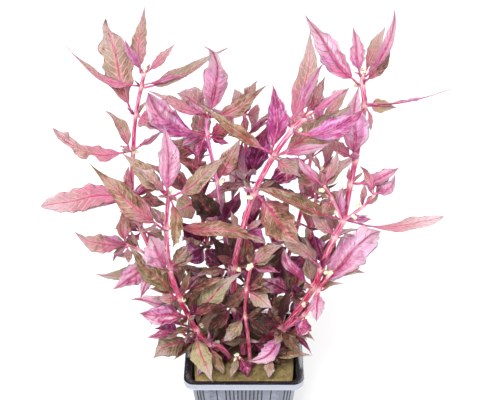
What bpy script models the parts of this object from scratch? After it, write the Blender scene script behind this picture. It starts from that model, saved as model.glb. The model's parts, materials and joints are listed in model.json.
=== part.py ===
"""Alternanthera reineckii, a red-leaved aquarium plant grown above water in a square pot of rock wool.

Metres, +Z up. The origin is the middle of the pot's underside; the plant is looked at from -Y.
Every stem and leaf was placed by sighting: a flat sheet stands in the pot's mouth, tilted to face the
viewer, and a point is given as millimetres across and up that sheet, with how far back the point lies.
"""

import math
from collections import namedtuple

import bmesh
import bpy
from mathutils import Vector
from mathutils.bvhtree import BVHTree

MM = 0.001

# The pot: a tapered square with a rolled rim
POT_HEIGHT = 80 * MM
RIM_HALF = 46 * MM
RIM_DEPTH = 6 * MM
RIM_TOP_WIDTH = 4.5 * MM
RIM_CORNER = 9 * MM
BODY_TOP_HALF = 41.3 * MM
BODY_FOOT_HALF = 32 * MM
BODY_CORNER = 7 * MM
POT_WALL = 1.3 * MM
POT_FLOOR = 1.8 * MM
RIM_EDGE = 0.8 * MM
RIM_LEAN = 0.5 * MM
CORNER_STEPS = 3
FOOT_BEVEL = 1.5 * MM
DRAIN_PLACE = 16 * MM
DRAIN_RADIUS = 3.5 * MM

# The rock wool plug and the holes that the stems stand in
WOOL_TOP = 77 * MM
WOOL_TOP_HALF = 38.2 * MM
WOOL_TAPER = 0.77
WOOL_CORNER_PULL = 0.08
WOOL_CELLS = 4
WOOL_LUMP = 0.7 * MM
GAP = 0.3 * MM
PLANTING_DEPTH = 9 * MM
HOLE_SIDES = 5
STRAIGHT_FOOT = 2 * MM

# Where the viewer stands, for the sighting sheet
VIEW_RISE = math.radians(32)
EYE_DISTANCE = 880 * MM
AIM_ACROSS = 4.7 * MM
AIM_UP = 115.3 * MM
SHEET_UP = Vector((0, math.sin(VIEW_RISE), math.cos(VIEW_RISE)))
SHEET_OUT = Vector((0, -math.cos(VIEW_RISE), math.sin(VIEW_RISE)))
SHEET_FOOT = Vector((0, 0, POT_HEIGHT))
EYE = SHEET_FOOT + Vector((AIM_ACROSS, 0, 0)) + SHEET_UP * AIM_UP + SHEET_OUT * EYE_DISTANCE

# Stems: sides of the tube, how much a node swells, the taper from foot to tip, and the flower heads, whose
# rings are how far out they stand and how wide they are, as shares of the head's radius
STEM_SIDES = 5
NODE_SWELL = 1.3
FOOT_SWELL = 1.1
TIP_TAPER = 0.62
FLOWER_RADIUS = 2.3 * MM
FLOWER_RINGS = ((0.8, 1.0), (1.8, 0.6))
FLOWER_ROOM = 1.3
SHOULDER_RISE = 1.6
SHOULDER_NARROW = 0.8
FLOWER_TRIES = [math.radians(a) for a in (0, 30, -30, 60, -60, 90, -90, 120, -120, 150, -150, 180)]

# Leaves: where along the midrib the solid has a section, how it is shaped there, how far from its node's
# ring a small leaf's stalk leaves the stem, and what is tried in turn where a leaf has no room as listed
SECTIONS = (0.0, 0.12, 0.28, 0.5, 0.76)
SMALL_SECTIONS = (0.0, 0.2, 0.5)
STALK_SHARE = 0.12
STALK_HALF = 0.8 * MM
STALK_THICK = 1.5 * MM
BLADE_THICK = 0.9 * MM
BLADE_BASE_POWER = 0.9
BLADE_TIP_POWER = 1.3
KEEL = 0.22
START_GAP = 0.42 * MM
SIDE_STEP = 1.3 * MM
SIDE_FILL = 0.8
SIDE_REACH = 0.8
STALK_REACH = 0.9
DEPTH_TRIES = (0, -6, 6, -12, 12, -18, 18, -24, 24, -32, 32, -42, 42)
BEND_TRIES = (0.0, 0.05, -0.05, 0.1, -0.1)
LIFT_TRIES = (0, 12, -12, 24)
TURN_TRIES = (0, 14, -14, 28, -28, 42, -42)

Stem = namedtuple("Stem", "foot radius nodes flowers")
Branch = namedtuple("Branch", "parent node radius nodes flowers")
Leaf = namedtuple("Leaf", "stem node across up reach width face bow swing")
Pair = namedtuple("Pair", "stem node heading rise length width")

# Stems. foot: x, y on the rock wool. nodes: across, up and back of each leaf node, in millimetres, foot
# to tip. flowers: the nodes that carry small white flower heads
STEMS = {
    "tall_left": Stem((-9, 8), 2.1, (
        (-50, 42, 2), (-69, 68, 2), (-80.5, 91, 6), (-88, 118, 10), (-87.5, 154, 16), (-85.5, 183, 22),
        (-81, 205, 26), (-79, 215, 28)), (4, 5, 6, 7)),
    "left_front": Stem((-12, -12), 2.4, (
        (-27, 2, -22), (-38, 13, -27), (-44, 24, -31), (-51, 38, -35), (-58.5, 61, -40), (-61.5, 93, -44),
        (-59.5, 119, -46)), (2, 3, 4, 5, 6)),
    "center_back": Stem((-4, 12), 2.1, (
        (-10, 35, 11), (-12, 62, 12), (-16.5, 96, 15), (-21.5, 130, 18), (-29.5, 168, 22),
        (-29, 181, 24)), (4, 5)),
    "center": Stem((0, -8), 2.6, (
        (-7.5, 31, -16), (-7.5, 63, -22), (-2, 89, -27), (8, 121, -32), (24, 151, -36), (38.5, 171, -38),
        (48, 180, -38)), (2, 3, 4, 5, 6)),
    "right": Stem((11, 0), 2.7, (
        (30.5, 14, -12), (55.5, 47, -26), (61, 62, -28), (72, 87, -30), (78.5, 100, -30), (84, 128, -26),
        (88, 147, -22), (95, 190, -10), (93.5, 207, -6), (94, 214, -5)), (2, 5, 9)),
    "back_left": Stem((-14, 24), 2.0, (
        (-22, 45, 34), (-29, 80, 44), (-35, 115, 52), (-37, 150, 57), (-34, 182, 60)), (3,)),
    "back_middle": Stem((3, 26), 2.0, (
        (2, 50, 38), (4, 90, 48), (3, 130, 56), (1, 165, 60), (0, 184, 62)), (2, 4)),
    "back_right": Stem((18, 20), 2.0, (
        (26, 45, 32), (38, 80, 42), (47, 115, 50), (53, 150, 56), (58, 174, 58)), (3,)),
    "inner_right": Stem((22, 6), 1.9, (
        (38, 40, 6), (50, 75, 0), (53, 92, 0), (57, 116, 2), (61, 138, 4)), (2,)),
    "low_center": Stem((5, -20), 1.6, ((1, 24, -30), (2, 45, -36), (5.5, 63, -40)), (3,)),
    "low_front": Stem((-16, -3), 1.5, ((-20.5, 2, -9),), (1,)),
    "low_left": Stem((-27, 4), 1.6, ((-40, 5, -4), (-50, 11, -12)), (2,)),
    "low_middle": Stem((2, -24), 1.4, ((-4, -9, -25),), (1,)),
    "low_right": Stem((19, -19), 1.4, ((20, -9, -23),), ()),
}

# Side branches: the stem and node each grows from, then as a stem
BRANCHES = {
    "right_fork": Branch("right", 1, 1.7, ((48, 25, -26), (59, 44, -32), (67, 56, -34)), (1, 3)),
    "far_right_shoot": Branch("right", 5, 1.2, ((94, 110, -44), (103, 119, -48)), (1,)),
    "upper_right_shoot": Branch("right", 5, 1.3, ((69, 117, -42), (63, 127, -46)), (1, 2)),
    "left_shoot": Branch("tall_left", 2, 1.3, ((-83, 76, -6), (-93, 80, -10)), ()),
}

# Leaves that are pieces of their own: stem, node, tip across and up the sheet, how much further back
# the tip is than the node, width, face (1 the upper side, -1 the underside turned to the viewer, 0 as it
# grows), bow towards the upper side and swing to the left of its own direction, as shares of its length
LEAVES = (
    Leaf("tall_left", 8, -78, 272, 14, 11, 0.9, -0.03, 0.04),
    Leaf("tall_left", 7, -145, 243, -8, 8.5, 0.3, -0.03, 0.11),
    Leaf("tall_left", 7, -10, 241, -12, 13, 0.6, 0.04, -0.08),
    Leaf("tall_left", 6, -109, 259, 12, 22, 0.9, 0.02, 0.02),
    Leaf("tall_left", 5, -154, 171.5, -16, 15.5, 0.7, -0.04, 0.13),
    Leaf("tall_left", 5, -111, 188, 8, 11, 0.7, 0.03, -0.07),
    Leaf("tall_left", 4, -160, 110, -16, 17, 0.8, 0.05, -0.04),
    Leaf("tall_left", 2, -104, 43, -14, 17, -0.9, 0.03, 0.0),
    Leaf("left_shoot", 2, -137, 91, -12, 14, 0.7, 0.04, 0.09),
    Leaf("left_front", 7, -63.5, 172.5, -16, 17, -1.0, 0.04, -0.03),
    Leaf("left_front", 7, -97, 154.5, 4, 12.5, 1.0, 0.05, 0.0),
    Leaf("left_front", 7, -12, 153, -8, 14, 0.7, 0.05, -0.06),
    Leaf("left_front", 7, -57, 76, -12, 11, 0.8, 0.08, 0.1),
    Leaf("left_front", 6, -127, 148, -10, 18, 0.9, 0.04, 0.02),
    Leaf("left_front", 6, 17, 81.5, -6, 12, 0.5, 0.05, 0.03),
    Leaf("left_front", 5, -76, 89, -14, 21, -1.0, 0.02, 0.0),
    Leaf("left_front", 4, -91, 79, -6, 14, 1.0, 0.03, 0.0),
    Leaf("left_front", 3, 1, 60, -4, 17, 1.0, 0.03, 0.02),
    Leaf("left_front", 3, -92, 38, -6, 11, -0.6, 0.04, -0.04),
    Leaf("left_front", 2, -24, -29.5, -20, 16, 1.0, 0.12, -0.04),
    Leaf("center_back", 6, -31, 245, -20, 17.5, -0.7, 0.03, -0.09),
    Leaf("center_back", 6, 19, 210, -6, 11, 0.8, 0.04, -0.1),
    Leaf("center_back", 5, -76, 205, -24, 24, -1.0, 0.03, 0.15),
    Leaf("center_back", 3, -45, 130, -4, 17, 0.9, 0.04, 0.0),
    Leaf("center", 7, 66, 226, -22, 7, -1.0, 0.02, 0.08),
    Leaf("center", 6, 52, 250, 14, 16, 1.0, 0.02, -0.06),
    Leaf("center", 6, 95, 189, -20, 15, -1.0, 0.03, -0.13),
    Leaf("center", 5, 22, 208, -14, 15, -1.0, 0.03, -0.07),
    Leaf("center", 5, 87, 192, 12, 19, 0.9, 0.05, -0.02),
    Leaf("center", 5, -41, 197, -2, 11, 0.7, 0.04, 0.05),
    Leaf("center", 4, 45, 79, -14, 23, 0.7, 0.06, -0.03),
    Leaf("right", 9, 47.5, 264, -16, 15.5, -0.9, 0.03, 0.04),
    Leaf("right", 10, 86, 254, -6, 11, -0.6, 0.02, 0.0),
    Leaf("right", 10, 119.5, 271, -14, 8, -1.0, 0.02, -0.09),
    Leaf("right", 8, 121, 188, -4, 10.5, 0.9, 0.0, 0.02),
    Leaf("right", 7, 89, 207, -14, 20, -0.7, 0.05, 0.0),
    Leaf("right", 5, 5, 128, -14, 14, 0.8, 0.05, 0.03),
    Leaf("right", 5, 158, 103, -12, 10, 0.5, 0.03, -0.1),
    Leaf("right", 2, 111, 95, -20, 24, -1.0, 0.04, 0.03),
    Leaf("right", 1, 1, -12, -24, 15, -0.8, 0.03, 0.22),
)

# Leaves small enough to be one solid with the stem that they grow from, in the same terms
SMALL_LEAVES = (
    Leaf("tall_left", 8, -94, 242, -10, 6, -0.9, 0.03, 0.03),
    Leaf("tall_left", 8, -54, 240, 4, 7, 0.7, 0.03, -0.04),
    Leaf("tall_left", 7, -44, 213, -20, 4.5, -0.9, 0.02, 0.02),
    Leaf("tall_left", 6, -64, 169, -16, 19, 0.8, 0.04, 0.03),
    Leaf("tall_left", 5, -60, 172, -8, 9, -0.4, 0.04, 0.0),
    Leaf("tall_left", 4, -91, 143, 6, 8, 0.5, 0.02, 0.04),
    Leaf("tall_left", 4, -131, 106.5, -6, 7, -0.3, 0.04, 0.03),
    Leaf("tall_left", 4, -60, 111, -14, 11, 0.5, 0.05, 0.03),
    Leaf("tall_left", 4, -64, 130, 2, 12, 0.6, 0.05, 0.03),
    Leaf("tall_left", 3, -88, 99, -14, 8, 0.4, 0.02, 0.0),
    Leaf("tall_left", 2, -118, 56, -4, 11, 0.6, 0.06, 0.1),
    Leaf("tall_left", 2, -82, 38, -14, 9, -0.9, 0.02, 0.0),
    Leaf("left_shoot", 2, -115, 88, 2, 6, -0.5, 0.02, 0.0),
    Leaf("left_shoot", 2, -95, 110, 6, 11, 0.8, 0.03, 0.04),
    Leaf("left_shoot", 2, -91, 65, -8, 6, 0.4, 0.03, 0.0),
    Leaf("left_shoot", 2, -104, 69, -8, 5, -0.6, 0.02, 0.0),
    Leaf("left_front", 7, -86, 141, 8, 11, 0.6, 0.04, 0.0),
    Leaf("left_front", 6, -75, 111, 8, 10, 0.6, 0.04, 0.0),
    Leaf("left_front", 5, -44, 80, 8, 11, 0.4, 0.05, 0.0),
    Leaf("left_front", 4, -42, 61, 2, 6, 0.8, 0.02, 0.0),
    Leaf("left_front", 4, -13, 54, -8, 8, 0.4, 0.04, 0.05),
    Leaf("left_front", 4, -68, 37, -6, 9, 0.6, 0.05, 0.0),
    Leaf("left_front", 3, -40, 43, 4, 8, 0.8, 0.02, 0.03),
    Leaf("left_front", 3, -14, 32, -6, 9, 0.9, 0.03, 0.04),
    Leaf("left_front", 3, -85, 26, -12, 15, -1.0, 0.03, 0.0),
    Leaf("left_front", 2, -75, 18, -8, 10, -0.6, 0.04, -0.06),
    Leaf("left_front", 1, -15, -24, -12, 8, 0.9, 0.08, 0.0),
    Leaf("left_front", 1, -37, -27, -14, 12, -1.0, 0.06, -0.05),
    Leaf("center_back", 6, -80, 204, -10, 9, 0.6, 0.03, 0.04),
    Leaf("center_back", 6, -44, 195, -8, 7, -1.0, 0.02, 0.03),
    Leaf("center_back", 5, -11, 160, -10, 7, -0.7, 0.03, -0.06),
    Leaf("center_back", 5, -50, 157, -12, 9, -0.8, 0.04, -0.05),
    Leaf("center_back", 5, -35, 142, -14, 10, -1.0, 0.06, -0.1),
    Leaf("center_back", 4, -60, 152, -10, 14, 0.7, 0.05, 0.0),
    Leaf("center_back", 4, -2, 166, -4, 14, 0.6, 0.04, -0.03),
    Leaf("center_back", 3, -32, 101, -12, 8, -0.8, 0.03, 0.0),
    Leaf("center_back", 3, -3, 122, -8, 12, -0.6, 0.03, 0.0),
    Leaf("center", 7, 84, 206, -12, 9, -0.7, 0.03, -0.05),
    Leaf("center", 7, 65, 215, 6, 8.5, 0.8, 0.02, -0.04),
    Leaf("center", 5, 69, 159, -18, 7.5, -0.9, 0.03, 0.0),
    Leaf("center", 4, -2, 125, -8, 6, -0.5, 0.02, 0.0),
    Leaf("center", 3, 18, 75, -8, 18, -1.0, 0.04, 0.1),
    Leaf("center", 3, 4, 65, -10, 9, 0.8, 0.05, 0.05),
    Leaf("center", 2, -23, 71, -8, 6.5, 0.8, 0.03, -0.08),
    Leaf("center", 1, -3, 7, -12, 11, -1.0, 0.06, 0.05),
    Leaf("center", 1, 20, 5, -6, 13, 0.7, 0.06, -0.04),
    Leaf("right", 10, 113, 253, 8, 9, 0.8, 0.02, 0.03),
    Leaf("right", 9, 116, 237, 4, 12, 0.9, 0.04, -0.08),
    Leaf("right", 8, 168, 205, -10, 7, -0.3, 0.02, -0.07),
    Leaf("right", 8, 100, 169, -6, 4, 0.3, 0.03, 0.05),
    Leaf("right", 7, 57, 165, 0, 12, 0.7, 0.05, 0.04),
    Leaf("right", 6, 124, 143, -10, 10, -0.8, 0.02, -0.1),
    Leaf("right", 5, 102, 101, -10, 6, -0.6, 0.02, -0.03),
    Leaf("right", 5, 80, 127, -16, 9, -0.7, 0.03, 0.08),
    Leaf("right", 4, 46, 120, -12, 6, -0.5, 0.02, 0.0),
    Leaf("right", 4, 50, 108, -6, 9, 0.6, 0.04, 0.04),
    Leaf("right", 3, 21, 96, -8, 9.5, 1.0, 0.03, 0.0),
    Leaf("right", 2, 31, 78, -12, 10, -0.8, 0.03, 0.08),
    Leaf("right", 2, 98, 56, -6, 12, 0.5, 0.05, 0.16),
    Leaf("right", 1, -1, 23, -4, 11.5, 0.9, 0.05, -0.04),
    Leaf("right", 1, 44, -8, -16, 11, 1.0, 0.06, 0.04),
    Leaf("right", 1, 36, 46, 4, 8, 0.9, 0.02, 0.04),
    Leaf("right", 1, 20, 28, -4, 6, 0.8, 0.02, 0.0),
    Leaf("right", 1, 54, -8, -8, 5.5, -0.9, 0.04, 0.1),
    Leaf("right_fork", 1, 42, 8, -8, 13, -0.7, 0.05, 0.1),
    Leaf("right_fork", 2, 57, 19, -6, 11, -0.8, 0.04, -0.02),
    Leaf("right_fork", 3, 80, 60, -3, 4, -0.5, 0.02, 0.0),
    Leaf("far_right_shoot", 2, 92, 143, 2, 6, 0.4, 0.03, -0.04),
    Leaf("far_right_shoot", 2, 115, 133, 4, 6, 0.7, 0.02, 0.0),
    Leaf("far_right_shoot", 2, 121, 138, -6, 8, -0.8, 0.03, -0.1),
    Leaf("upper_right_shoot", 2, 42, 152, -12, 9, -1.0, 0.03, 0.04),
    Leaf("upper_right_shoot", 2, 36, 143, 4, 14, 0.8, 0.05, 0.02),
    Leaf("upper_right_shoot", 2, 75, 157, 2, 7, 0.6, 0.02, -0.05),
    Leaf("upper_right_shoot", 1, 61, 104, -8, 9, 0.6, 0.05, 0.05),
    Leaf("low_center", 3, 32, 80, -4, 10, 0.7, 0.05, 0.06),
    Leaf("low_center", 3, 29, 57, -8, 8, -0.8, 0.04, 0.04),
    Leaf("low_center", 3, 2, 77, 0, 7, 0.7, 0.02, 0.0),
    Leaf("low_center", 2, 23, 29, -10, 13, 0.9, 0.05, 0.03),
    Leaf("low_front", 1, -15, 22, 3, 6.5, 0.9, 0.02, 0.02),
    Leaf("low_front", 1, 13, 4, -8, 7, 0.5, 0.03, 0.0),
    Leaf("low_left", 2, -71, 13, -6, 14, -0.5, 0.04, -0.03),
    Leaf("low_left", 1, -72, -10, -12, 19, 0.7, 0.08, -0.08),
    Leaf("low_left", 2, -77, 6, -4, 9, -0.6, 0.04, 0.0),
    Leaf("low_left", 1, -38, -17, -10, 9, 0.8, 0.05, 0.06),
    Leaf("low_middle", 1, 3, -25, -12, 9, -1.0, 0.05, 0.05),
    Leaf("low_middle", 1, -11, -26, -12, 6, 0.8, 0.05, 0.0),
    Leaf("low_right", 1, 20, -26, -12, 8, -0.5, 0.06, 0.0),
    Leaf("low_right", 1, 54, -8, -2, 8, 0.5, 0.04, 0.06),
    Leaf("back_left", 5, -53, 200, 0, 22, 0.8, 0.04, -0.12),
    Leaf("back_middle", 5, -8, 204, 4, 12, 0.7, 0.03, 0.0),
    Leaf("back_middle", 5, 12, 179, 4, 17, 0.8, 0.04, 0.05),
    Leaf("back_middle", 4, -9, 113, -12, 19, -0.9, 0.05, -0.03),
    Leaf("back_right", 5, 19, 180, -14, 13, 0.5, 0.03, 0.05),
    Leaf("back_right", 5, 62, 200, -4, 8, -0.6, 0.02, 0.0),
    Leaf("back_right", 5, 84, 206, 10, 8, 0.8, 0.03, -0.03),
    Leaf("center", 1, -30, 12, -2, 12, 0.7, 0.05, 0.05),
    Leaf("center", 2, 16, 48, -4, 12, -0.8, 0.05, 0.0),
    Leaf("center_back", 1, -30, 20, 2, 15, 0.8, 0.05, 0.0),
    Leaf("center_back", 1, 8, 15, -2, 13, -0.7, 0.05, 0.05),
    Leaf("center_back", 2, -32, 76, 4, 18, -0.8, 0.04, 0.0),
    Leaf("center_back", 2, -26, 88, 0, 12, 0.6, 0.04, 0.0),
    Leaf("low_center", 1, -17, 3, 2, 11, 0.8, 0.06, 0.05),
    Leaf("low_center", 1, 22, 10, 4, 12, 0.6, 0.06, -0.05),
    Leaf("low_center", 2, -16, 30, 4, 11, 0.7, 0.05, 0.05),
    Leaf("low_right", 1, 37, 3, 4, 11, 0.6, 0.05, 0.0),
    Leaf("low_right", 1, 5, 6, 8, 10, -0.6, 0.05, 0.0),
    Leaf("low_front", 1, -38, -9, 2, 10, 0.5, 0.06, 0.0),
    Leaf("low_left", 1, -24, 22, 6, 10, 0.6, 0.04, 0.0),
    Leaf("inner_right", 1, 19, 23, -4, 13, 0.8, 0.05, 0.0),
    Leaf("inner_right", 1, 50, 19, -4, 16, -0.7, 0.05, 0.0),
    Leaf("inner_right", 2, 34, 54, -4, 18, -0.9, 0.05, 0.0),
    Leaf("back_middle", 1, 22, 34, -6, 17, 0.8, 0.05, 0.0),
    Leaf("back_middle", 1, -18, 36, -6, 17, -0.8, 0.05, 0.0),
    Leaf("back_middle", 2, -16, 74, -6, 18, 0.8, 0.05, 0.0),
    Leaf("back_left", 1, -46, 32, -4, 16, 0.8, 0.05, 0.0),
    Leaf("back_left", 2, -50, 98, -2, 18, -0.8, 0.05, 0.0),
    Leaf("back_right", 1, 50, 40, -4, 16, 0.8, 0.05, 0.0),
    Leaf("back_right", 2, 20, 90, -4, 18, -0.8, 0.05, 0.0),
    Leaf("tall_left", 1, -64, 24, -6, 13, 0.6, 0.05, 0.05),
    Leaf("center_back", 5, -4, 171, 0, 14, 0.6, 0.04, 0.0),
    Leaf("back_middle", 3, 19, 176, -2, 17, -0.9, 0.04, 0.0),
    Leaf("back_right", 4, 19, 128, -6, 18, -0.9, 0.04, 0.0),
    Leaf("center", 5, 46, 132, 12, 14, 0.8, 0.05, 0.0),
    Leaf("center", 4, 5, 102, 8, 12, -0.8, 0.04, 0.05),
    Leaf("back_left", 3, -58, 104, -6, 19, 0.8, 0.04, 0.0),
    Leaf("back_left", 2, -53, 65, -6, 19, -0.8, 0.04, 0.0),
    Leaf("back_left", 4, -60, 163, -6, 17, 0.7, 0.04, 0.0),
    Leaf("back_right", 2, 8, 62, -6, 19, 0.7, 0.04, 0.0),
    Leaf("inner_right", 1, 13, 53, -4, 15, -0.7, 0.05, 0.0),
    Leaf("inner_right", 3, 62, 65, -6, 13, -0.8, 0.04, 0.0),
    Leaf("right", 2, 50, 72, 6, 10, 0.6, 0.03, 0.0),
    Leaf("tall_left", 3, -60, 80, -6, 13, 0.5, 0.04, 0.0),
    Leaf("tall_left", 3, -94, 77, -8, 11, -0.5, 0.04, 0.0),
    Leaf("tall_left", 1, -34, 56, 4, 12, -0.6, 0.04, 0.0),
)

# Pairs that fill the bush where it isn't seen from the front: stem, node, compass heading of one leaf
# of the pair (0 is +X, 90 is straight back), rise, length and width. The other leaf points the other way
PAIRS = (
    Pair("back_left", 1, 150, 20, 42, 13),
    Pair("back_left", 2, 70, 35, 48, 15),
    Pair("back_left", 3, 165, 30, 52, 16),
    Pair("back_left", 4, 80, 40, 50, 15),
    Pair("back_middle", 1, 100, 20, 40, 13),
    Pair("back_middle", 2, 20, 30, 46, 15),
    Pair("back_middle", 3, 95, 35, 52, 16),
    Pair("back_middle", 4, 10, 40, 46, 14),
    Pair("back_middle", 5, 70, 50, 28, 10),
    Pair("back_right", 1, 35, 20, 42, 13),
    Pair("back_right", 2, 120, 30, 48, 15),
    Pair("back_right", 3, 25, 30, 54, 17),
    Pair("back_right", 4, 110, 38, 50, 15),
    Pair("inner_right", 1, 75, 20, 36, 12),
    Pair("inner_right", 2, 150, 25, 44, 14),
    Pair("inner_right", 3, 40, 30, 46, 14),
    Pair("inner_right", 4, 140, 30, 46, 15),
    Pair("inner_right", 5, 45, 50, 40, 12),
    Pair("tall_left", 1, 100, 15, 38, 12),
    Pair("tall_left", 3, 120, 30, 42, 13),
    Pair("center_back", 2, 60, 20, 42, 14),
    Pair("center_back", 1, 140, 15, 36, 12),
)

SECOND_LEAF_TURN = 172
PAIR_BOW = 0.07


def sighted(across, up, back):
    """The point that lies `back` behind the pot's middle, seen over that point of the sheet. Millimetres in."""
    on_sheet = SHEET_FOOT + Vector((across * MM, 0, 0)) + SHEET_UP * (up * MM)
    ray = EYE - on_sheet
    return on_sheet + ray * ((back * MM - on_sheet.y) / ray.y)


def loop_edges(bm, ring):
    return [bm.edges.get((a, b)) for a, b in zip(ring, ring[1:] + ring[:1])]


def next_ring(bm, ring):
    """Extrudes a ring of edges and returns the new ring's corners in the same order."""
    made = bmesh.ops.extrude_edge_only(bm, edges=loop_edges(bm, ring))["geom"]
    fresh = {g for g in made if isinstance(g, bmesh.types.BMVert)}
    return [next(e.other_vert(v) for e in v.link_edges if e.other_vert(v) in fresh) for v in ring]


def loft(bm, rings, tip=None):
    """Skins rings of equally many corners by extruding one to the next. A tip closes the far end to a point."""
    ring = bmesh.ops.create_circle(bm, cap_ends=True, radius=MM, segments=len(rings[0]))["verts"]
    made = [ring]
    for index, places in enumerate(rings):
        if index:
            ring = next_ring(bm, ring)
            made.append(ring)
        for vert, place in zip(ring, places):
            vert.co = place
    if tip is None:
        bmesh.ops.contextual_create(bm, geom=loop_edges(bm, ring))
    else:
        bmesh.ops.pointmerge(bm, verts=next_ring(bm, ring), merge_co=tip)
    bmesh.ops.recalc_face_normals(bm, faces=bm.faces)
    return made


def new_material(name, color, roughness):
    material = bpy.data.materials.new(name)
    material.use_nodes = True
    shader = material.node_tree.nodes["Principled BSDF"]
    shader.inputs["Base Color"].default_value = (*color, 1)
    shader.inputs["Roughness"].default_value = roughness
    shader.inputs["Metallic"].default_value = 0.0
    return material


def new_object(name, bm, material, smooth_below=None):
    """Turns a bmesh into a named object. Edges gentler than smooth_below are shaded smooth."""
    mesh = bpy.data.meshes.new(name)
    bm.to_mesh(mesh)
    bm.free()
    mesh.materials.append(material)
    if smooth_below is not None:
        mesh.shade_smooth()
        mesh.set_sharp_from_angle(angle=smooth_below)
    obj = bpy.data.objects.new(name, mesh)
    bpy.context.scene.collection.objects.link(obj)
    return obj


def cut(target, tool):
    """Cuts a hidden solid out of the target."""
    tool.hide_render = True
    tool.display_type = "WIRE"
    step = target.modifiers.new(tool.name, "BOOLEAN")
    step.operation = "DIFFERENCE"
    step.solver = "EXACT"
    step.object = tool


# The pot
def rounded_square(half, corner, height):
    """A level ring of corners: four arcs joined by straight sides."""
    ring = []
    for quarter in range(4):
        start = quarter * math.pi / 2
        middle = (half - corner) * math.sqrt(2) * Vector((math.cos(start + math.pi / 4),
                                                          math.sin(start + math.pi / 4)))
        for step in range(CORNER_STEPS + 1):
            angle = start + step / CORNER_STEPS * math.pi / 2
            ring.append(Vector((middle.x + corner * math.cos(angle), middle.y + corner * math.sin(angle), height)))
    return ring


def make_pot(material):
    """One moulding: a tapered box, and a rim that turns out and down over its top edge."""
    under_flange = POT_HEIGHT - POT_WALL
    skirt = RIM_HALF - POT_WALL
    profile = (
        (BODY_FOOT_HALF - FOOT_BEVEL, BODY_CORNER - FOOT_BEVEL, 0),
        (BODY_FOOT_HALF, BODY_CORNER, FOOT_BEVEL),
        (BODY_TOP_HALF, BODY_CORNER, under_flange),
        (skirt, RIM_CORNER - POT_WALL, under_flange),
        (skirt - RIM_LEAN, RIM_CORNER - POT_WALL, POT_HEIGHT - RIM_DEPTH),
        (RIM_HALF - RIM_LEAN, RIM_CORNER, POT_HEIGHT - RIM_DEPTH),
        (RIM_HALF, RIM_CORNER, POT_HEIGHT - RIM_EDGE),
        (RIM_HALF - RIM_EDGE, RIM_CORNER - RIM_EDGE, POT_HEIGHT),
        (RIM_HALF - RIM_TOP_WIDTH, BODY_CORNER, POT_HEIGHT),
        (BODY_TOP_HALF - POT_WALL, BODY_CORNER - POT_WALL, POT_HEIGHT - RIM_TOP_WIDTH),
        (BODY_FOOT_HALF - POT_WALL, BODY_CORNER - POT_WALL, POT_FLOOR),
    )
    bm = bmesh.new()
    loft(bm, [rounded_square(*level) for level in profile])
    pot = new_object("pot", bm, material, math.radians(40))
    for x in (-DRAIN_PLACE, DRAIN_PLACE):
        for y in (-DRAIN_PLACE, DRAIN_PLACE):
            hole = bmesh.new()
            bmesh.ops.create_cone(hole, cap_ends=True, segments=8, radius1=DRAIN_RADIUS, radius2=DRAIN_RADIUS,
                                  depth=4 * POT_FLOOR)
            bmesh.ops.translate(hole, verts=hole.verts, vec=(x, y, 0))
            cut(pot, new_object("drain_cutter", hole, material))
    return pot


def wool_height(x, y):
    """The wool's uneven top."""
    return WOOL_TOP + WOOL_LUMP * math.sin(210 * x + 1.3) * math.cos(170 * y + 0.4)


def make_wool(material):
    """A plug that tapers with the pot, with a hole for each stem that stands in it."""
    bm = bmesh.new()
    bmesh.ops.create_grid(bm, x_segments=WOOL_CELLS, y_segments=WOOL_CELLS, size=WOOL_TOP_HALF)
    for vert in bm.verts:
        x, y = vert.co.xy
        pull = 1 - WOOL_CORNER_PULL * (abs(x * y) / WOOL_TOP_HALF ** 2) ** 2
        vert.co = (x * pull, y * pull, wool_height(x, y))
    rim = [e for e in bm.edges if e.is_boundary]
    made = bmesh.ops.extrude_edge_only(bm, edges=rim)["geom"]
    foot = [g for g in made if isinstance(g, bmesh.types.BMVert)]
    for vert in foot:
        vert.co = (vert.co.x * WOOL_TAPER, vert.co.y * WOOL_TAPER, POT_FLOOR + GAP)
    bmesh.ops.contextual_create(bm, geom=[e for e in bm.edges if e.is_boundary])
    bmesh.ops.recalc_face_normals(bm, faces=bm.faces)
    wool = new_object("rock_wool", bm, material)
    for name, stem in STEMS.items():
        hole = bmesh.new()
        radius = stem.radius * MM * FOOT_SWELL + 3 * GAP
        bmesh.ops.create_cone(hole, cap_ends=True, segments=HOLE_SIDES, radius1=radius, radius2=radius,
                              depth=2 * (PLANTING_DEPTH + GAP))
        bmesh.ops.translate(hole, verts=hole.verts, vec=(stem.foot[0] * MM, stem.foot[1] * MM, WOOL_TOP))
        cut(wool, new_object(f"{name}_hole", hole, material))
    return wool


# Stems
Side = namedtuple("Side", "face place wide tall half")


def stem_line(knots, planted):
    """The knots of a stem with a point between each two, on a smooth curve. A planted stem starts straight up."""
    ways = []
    for index in range(len(knots)):
        before = knots[max(index - 1, 0)]
        after = knots[min(index + 1, len(knots) - 1)]
        ways.append((after - before).normalized())
    if planted:
        ways[1] = ways[0]
    line = []
    for index in range(len(knots) - 1):
        here, there = knots[index], knots[index + 1]
        swerve = (ways[index] - ways[index + 1]) * ((there - here).length / 8)
        line += [here, here.lerp(there, 0.5) + swerve]
    return line + [knots[-1]]


def tube_rings(line, radii):
    """A ring round each point of a line, turned as little as can be from one to the next."""
    rings = []
    outward = Vector((0, -1, 0))
    for index, (point, radius) in enumerate(zip(line, radii)):
        before = line[max(index - 1, 0)]
        after = line[min(index + 1, len(line) - 1)]
        axis = (after - before).normalized()
        outward = (outward - outward.project(axis)).normalized()
        side = axis.cross(outward)
        turns = [2 * math.pi * k / STEM_SIDES for k in range(STEM_SIDES)]
        rings.append([point + radius * (math.cos(t) * outward + math.sin(t) * side) for t in turns])
    return rings


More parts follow.
